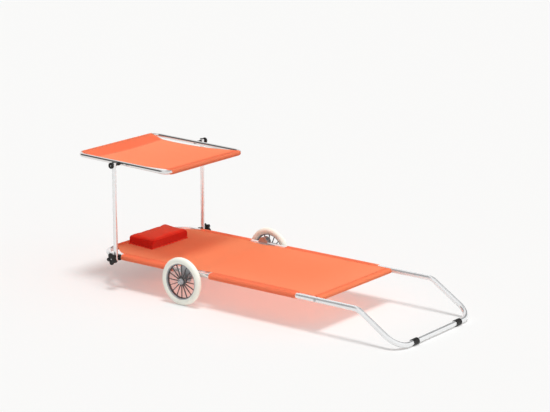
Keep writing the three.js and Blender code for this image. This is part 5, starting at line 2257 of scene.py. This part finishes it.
@dataclass
class Pillow:
    """The stuffed pillow at the head end: a crowned block with a seam round its top and its base."""

    shop: Workshop
    bed: BedCloth
    middle: float = -0.432
    aside: float = 0.004
    length: float = 0.158
    width: float = 0.284
    edge_height: float = 0.046
    crown: float = 0.006
    droop: float = 0.014
    droop_power: int = 5
    corner_drop: float = 0.0035
    corner_power: int = 6
    # How far below the top the painted shade on the sides begins.
    side_start: float = 0.009
    side_pull: float = 0.005
    edge_round: float = 0.0012
    shrink: float = 0.0018
    cuts: int = 20
    voxel: float = 0.005
    pressure: float = 4.0
    frames: int = 20
    cap: float = 0.006
    clearance: float = 0.0006
    top_seam: float = 0.9
    piping: float = 0.001
    base_seam: float = 0.05
    flange: float = 0.0025
    flange_reach: float = 0.0035
    flange_wave: float = 0.0015
    flange_waves: int = 34
    outline_power: int = 12
    loop_points: int = 360
    loop_start: float = 0.3
    pipe_sides: int = 8

    def floor(self, x: float, y: float) -> float:
        """Height of the bed under a place of the pillow."""
        plan = self.shop.plan
        return plan.rail_height + self.bed.top(x - plan.hinge_x, y) + self.clearance

    def block(self) -> Piece:
        """Makes the shape that is stuffed, a little smaller than the finished pillow.

        Returns:
            The shape.
        """
        plan = self.shop.plan
        work = bmesh.new()
        bmesh.ops.create_cube(work, size=2.0)
        bmesh.ops.subdivide_edges(work, edges=work.edges, cuts=self.cuts, use_grid_fill=True)
        for vertex in work.verts:
            along, across, high = vertex.co
            up = (high + 1) / 2
            pull = self.edge_round * (1 - 4 * up * (1 - up)) + self.shrink
            pull_along = self.side_pull * (1 - across**2) + pull
            pull_across = self.side_pull * (1 - along**2) + pull
            x = plan.hinge_x + self.middle + along * (self.length / 2 - pull_along)
            y = self.aside + across * (self.width / 2 - pull_across)
            crown = self.crown * (1 - along**2) * (1 - across**2)
            droop = self.droop * max(0.0, -across) ** self.droop_power * (along + 1) / 2
            droop += self.corner_drop * (along * across) ** self.corner_power
            vertex.co = (x, y, self.floor(x, y) + up * (self.edge_height - self.shrink + crown - droop))
        mesh = bpy.data.meshes.new("pillow_cushion")
        work.to_mesh(mesh)
        work.free()
        obj = link_mesh("pillow_cushion", mesh)
        remesh = obj.modifiers.new("even", "REMESH")
        remesh.mode = "VOXEL"
        remesh.voxel_size = self.voxel
        return settle(obj)

    def stuff(self, obj: Piece) -> Piece:
        """Blows the cloth up by simulation, and caps how far each point moves.

        Args:
            obj: The even shape.

        Returns:
            The same object, stuffed.
        """
        start = points_of(obj)
        modifier = obj.modifiers.new("stuffing", "CLOTH")
        modifier.settings.use_pressure = True
        modifier.settings.uniform_pressure_force = self.pressure
        modifier.settings.effector_weights.gravity = 0.0
        modifier.point_cache.frame_start = 1
        modifier.point_cache.frame_end = self.frames
        scene = bpy.context.scene
        for step in range(1, self.frames + 1):
            scene.frame_set(step)
        settle(obj)
        scene.frame_set(1)
        shift = points_of(obj) - start
        far = np.linalg.norm(shift, axis=1, keepdims=True)
        place = start + shift * np.minimum(1.0, self.cap / np.maximum(far, MERGE_DISTANCE))
        place[:, 2] = np.maximum(place[:, 2], [self.floor(x, y) for x, y, _ in place])
        obj.data.vertices.foreach_set("co", place.ravel())
        obj.data.update()
        return obj

    def build(self) -> Piece:
        """Makes the pillow and its piping.

        Returns:
            The pillow.
        """
        cushion = self.block()
        self.stuff(cushion)
        finer = cushion.modifiers.new("finer", "SUBSURF")
        finer.levels = 1
        finer.render_levels = 1
        settle(cushion)
        self.thread_marks(cushion)
        paint(shade(cushion, HALF_TURN), self.shop.finishes[Slot.RED])
        top = self.seam_loop(cushion, self.top_seam, 0.0, 0.0)
        base = self.seam_loop(cushion, self.base_seam, self.flange_reach, self.flange_wave)
        install(cushion, Body.HEAD, Slot.RED, "pillow")
        piping = join("pillow_piping", [self.pipe(top, self.piping), self.pipe(base, self.flange)])
        self.shop.finish(piping, Body.HEAD, Slot.RED)
        return cushion

    def thread_marks(self, obj: Piece) -> None:
        """Gives each point its place along the threads, and as third number the share of painted shade, 1 on
        the sides.

        Args:
            obj: The pillow.
        """
        place = points_of(obj)
        low = place.min(axis=0)
        drop = place[:, 2].max() - place[:, 2]
        marks = np.zeros_like(place)
        marks[:, 0] = place[:, 0] - low[0] + drop * np.sign(place[:, 0] - place[:, 0].mean())
        marks[:, 1] = place[:, 1] - low[1] + drop * np.sign(place[:, 1])
        # Painted shade: none near the top, rising to full between one and two side_start below it.
        marks[:, 2] = np.clip(drop / self.side_start - 1.0, 0.0, 1.0)
        mark_points(obj, "cloth", marks)

    def seam_loop(self, obj: Piece, share: float, reach: float, wave: float) -> list[Vector]:
        """Follows the pillow's side all round at one height.

        Args:
            obj: The pillow.
            share: The height, from 0 at the base to 1 at the top of the side.
            reach: How far the line stands out from the side.
            wave: How far it waves out and up.

        Returns:
            The points on the side.
        """
        tree = BVHTree.FromObject(obj, bpy.context.evaluated_depsgraph_get())
        centre_x = self.shop.plan.hinge_x + self.middle
        power = self.outline_power
        loop = []
        for angle in round_angles(self.loop_points):
            shape = (abs(cos(angle)) ** power + abs(sin(angle)) ** power) ** (-1 / power)
            out = Vector((self.length * cos(angle), self.width * sin(angle), 0.0)) * shape / 2
            x = centre_x + out.x
            y = self.aside + out.y
            swing = sin(self.flange_waves * angle) * wave
            spot = Vector((x, y, self.floor(x, y) + self.edge_height * share + abs(swing)))
            hit = tree.ray_cast(spot + out * self.loop_start, -out.normalized())[0]
            loop.append((spot if hit is None else hit) + out.normalized() * (reach + swing))
        return loop

    def pipe(self, loop: Sequence[Vector], radius: float) -> Piece:
        """Lays piping along a closed seam.

        Args:
            loop: The points of the seam.
            radius: The piping's radius.

        Returns:
            The piping.
        """
        up = Vector((0.0, 0.0, 1.0))
        centre = sum(loop, Vector()) / len(loop)
        points = []
        for before, here, after in zip([loop[-1], *loop], loop, [*loop[1:], loop[0]]):
            out = (after - before).normalized().cross(up).normalized()
            if out.dot(here - centre) < 0:
                out.negate()
            for angle in round_angles(self.pipe_sides):
                points.append(here + (out * cos(angle) + up * sin(angle)) * radius)
        obj = clean(add_object("pipe", points, band_faces(len(loop), self.pipe_sides)))
        marks = points_of(obj)
        marks[:, 2] = 0.0
        mark_points(obj, "cloth", marks)
        return obj


# Studio


@dataclass
class Studio:
    """The pale floor, the soft light and the camera."""

    camera_place: Point = (5.4788, -7.1746, 2.7577)
    camera_turn: float = radians(-37.4278)
    camera_drop: float = radians(14.2502)
    focal_pixels: float = 1985.3
    centre_pixel: Pair = (266.774, 202.784)
    sensor: float = 36.0
    floor_reach: float = 60.0
    floor_colour: Point = (0.845, 0.845, 0.84)
    seen_colour: Point = (0.955, 0.945, 0.93)
    seen_share: float = 0.3
    sun_strength: float = 2.05
    sun_softness: float = radians(17)
    sun_lean: Point = (0.12, -0.04, 1.0)
    fill: float = 0.48
    fill_lean: Point = (0.95, 0.0, 0.0)
    seen_level: float = 0.945
    dark_cards: tuple[tuple[Point, Pair, float], ...] = (
        ((-0.7, -0.42, 0.52), (0.8, 0.9), 0.82),
        ((-0.1, 0.8, 0.59), (0.91, 0.96), 0.98),
        ((0.1, 0.15, 0.98), (0.95, 0.98), 0.9),
    )

    def build(self) -> None:
        """Sets the studio up."""
        bpy.context.scene.view_settings.view_transform = "Standard"
        self.camera()
        self.floor()
        self.sun()
        self.world()

    def hang(self, name: str, data: bpy.types.ID, way: Vector, back: str) -> Piece:
        """Puts a camera or a light into the scene, with one of its axes along a direction."""
        obj = bpy.data.objects.new(name, data)
        obj.rotation_euler = way.to_track_quat(back, "Y").to_euler()
        bpy.context.scene.collection.objects.link(obj)
        return obj

    def camera(self) -> None:
        """Places the camera of the photograph."""
        data = bpy.data.cameras.new("camera")
        data.sensor_width = self.sensor
        data.lens = self.focal_pixels * self.sensor / IMAGE_WIDTH
        data.shift_x = (IMAGE_WIDTH / 2 - self.centre_pixel[0]) / IMAGE_WIDTH
        data.shift_y = (self.centre_pixel[1] - IMAGE_HEIGHT / 2) / IMAGE_WIDTH
        data.clip_end = 4 * self.floor_reach
        level = cos(self.camera_drop)
        turn = self.camera_turn
        forward = Vector((sin(turn) * level, cos(turn) * level, -sin(self.camera_drop)))
        camera = self.hang("camera", data, forward, "-Z")
        camera.location = self.camera_place
        bpy.context.scene.camera = camera

    def floor(self) -> None:
        """Lays the plain floor, which the camera and shiny surfaces see a little paler than it is lit."""
        reach = self.floor_reach
        corners = [(-reach, -reach, 0.0), (reach, -reach, 0.0), (reach, reach, 0.0), (-reach, reach, 0.0)]
        values = {"Base Color": (*self.floor_colour, 1.0), "Roughness": 1.0, "Specular IOR Level": 0.0}
        shader = Shader("studio_floor", values)
        path = shader.add("ShaderNodeLightPath").outputs
        pale = shader.add("ShaderNodeEmission", {"Color": (*self.seen_colour, 1.0), "Strength": 1.0})
        seen = shader.math("MAXIMUM", path["Is Camera Ray"], path["Is Glossy Ray"])
        share = shader.math("MULTIPLY", seen, self.seen_share)
        mix = shader.add("ShaderNodeMixShader", {0: share, 1: shader.surface.outputs[0], 2: pale.outputs[0]})
        shader.feed(shader.output, "Surface", mix.outputs[0])
        paint(add_object("floor", corners, [(0, 1, 2, 3)]), shader.material)

    def sun(self) -> None:
        """Hangs one large soft light almost overhead."""
        data = bpy.data.lights.new("soft_light", "SUN")
        data.energy = self.sun_strength
        data.angle = self.sun_softness
        self.hang("soft_light", data, Vector(self.sun_lean), "Z").visible_glossy = False

    def world(self) -> None:
        """Makes a fill that leans to the foot end; shiny surfaces see an even level with darker bands."""
        world = bpy.data.worlds.new("studio")
        world.use_nodes = True
        bpy.context.scene.world = world
        wiring = Wiring(world.node_tree)
        wiring.tree.nodes.clear()
        path = wiring.add("ShaderNodeLightPath").outputs
        glossy = path["Is Glossy Ray"]
        way = wiring.add("ShaderNodeTexCoord").outputs["Generated"]
        dark: Any = 0.0
        for middle, edges, strength in self.dark_cards:
            near = self.toward(wiring, way, Vector(middle).normalized())
            dark = wiring.math("ADD", dark, wiring.remap(near, edges, (0.0, strength)))
        seen = wiring.math("SUBTRACT", self.seen_level, wiring.math("MULTIPLY", dark, glossy))
        lit = wiring.math("MAXIMUM", glossy, path["Is Transmission Ray"])
        lit = wiring.math("MAXIMUM", path["Is Camera Ray"], lit)
        lean = self.toward(wiring, way, self.fill_lean)
        feeds = {0: lit, 2: wiring.math("MULTIPLY_ADD", lean, self.fill, self.fill), 3: seen}
        level = wiring.add("ShaderNodeMix", feeds, data_type="FLOAT").outputs[0]
        glow = wiring.add("ShaderNodeBackground", {"Color": (1.0, 1.0, 1.0, 1.0), "Strength": level})
        wiring.add("ShaderNodeOutputWorld", {"Surface": glow.outputs[0]})

    def toward(self, wiring: Wiring, way: Socket, middle: Sequence[float]) -> Socket:
        """How nearly the direction that is looked in is a given one."""
        feeds = {0: way, 1: middle}
        return wiring.add("ShaderNodeVectorMath", feeds, operation="DOT_PRODUCT").outputs["Value"]


def main() -> None:
    """Builds the studio and the lounger, piece by piece."""
    Studio().build()
    shop = Workshop(Plan.from_joints(frame["joints"]))
    place = CanopyPlace(shop.plan)
    FootFrame(shop).build()
    HeadFrame(shop).build()
    Hinges(shop).build()
    Axle(shop).build()
    for side in Side:
        Wheel(shop, side).build()
    Posts(shop).build()
    for side in Side:
        LowerPivot(shop, side).build()
    for side in Side:
        UpperPivot(shop, place, side).build()
    CanopyRing(shop, place).build()
    bed = BedCloth(shop=shop)
    bed_cloth = bed.build()
    canopy_cloth = CanopyCloth(shop=shop, place=place).build()
    Pillow(shop, bed).build()


if __name__ == "__main__":
    main()
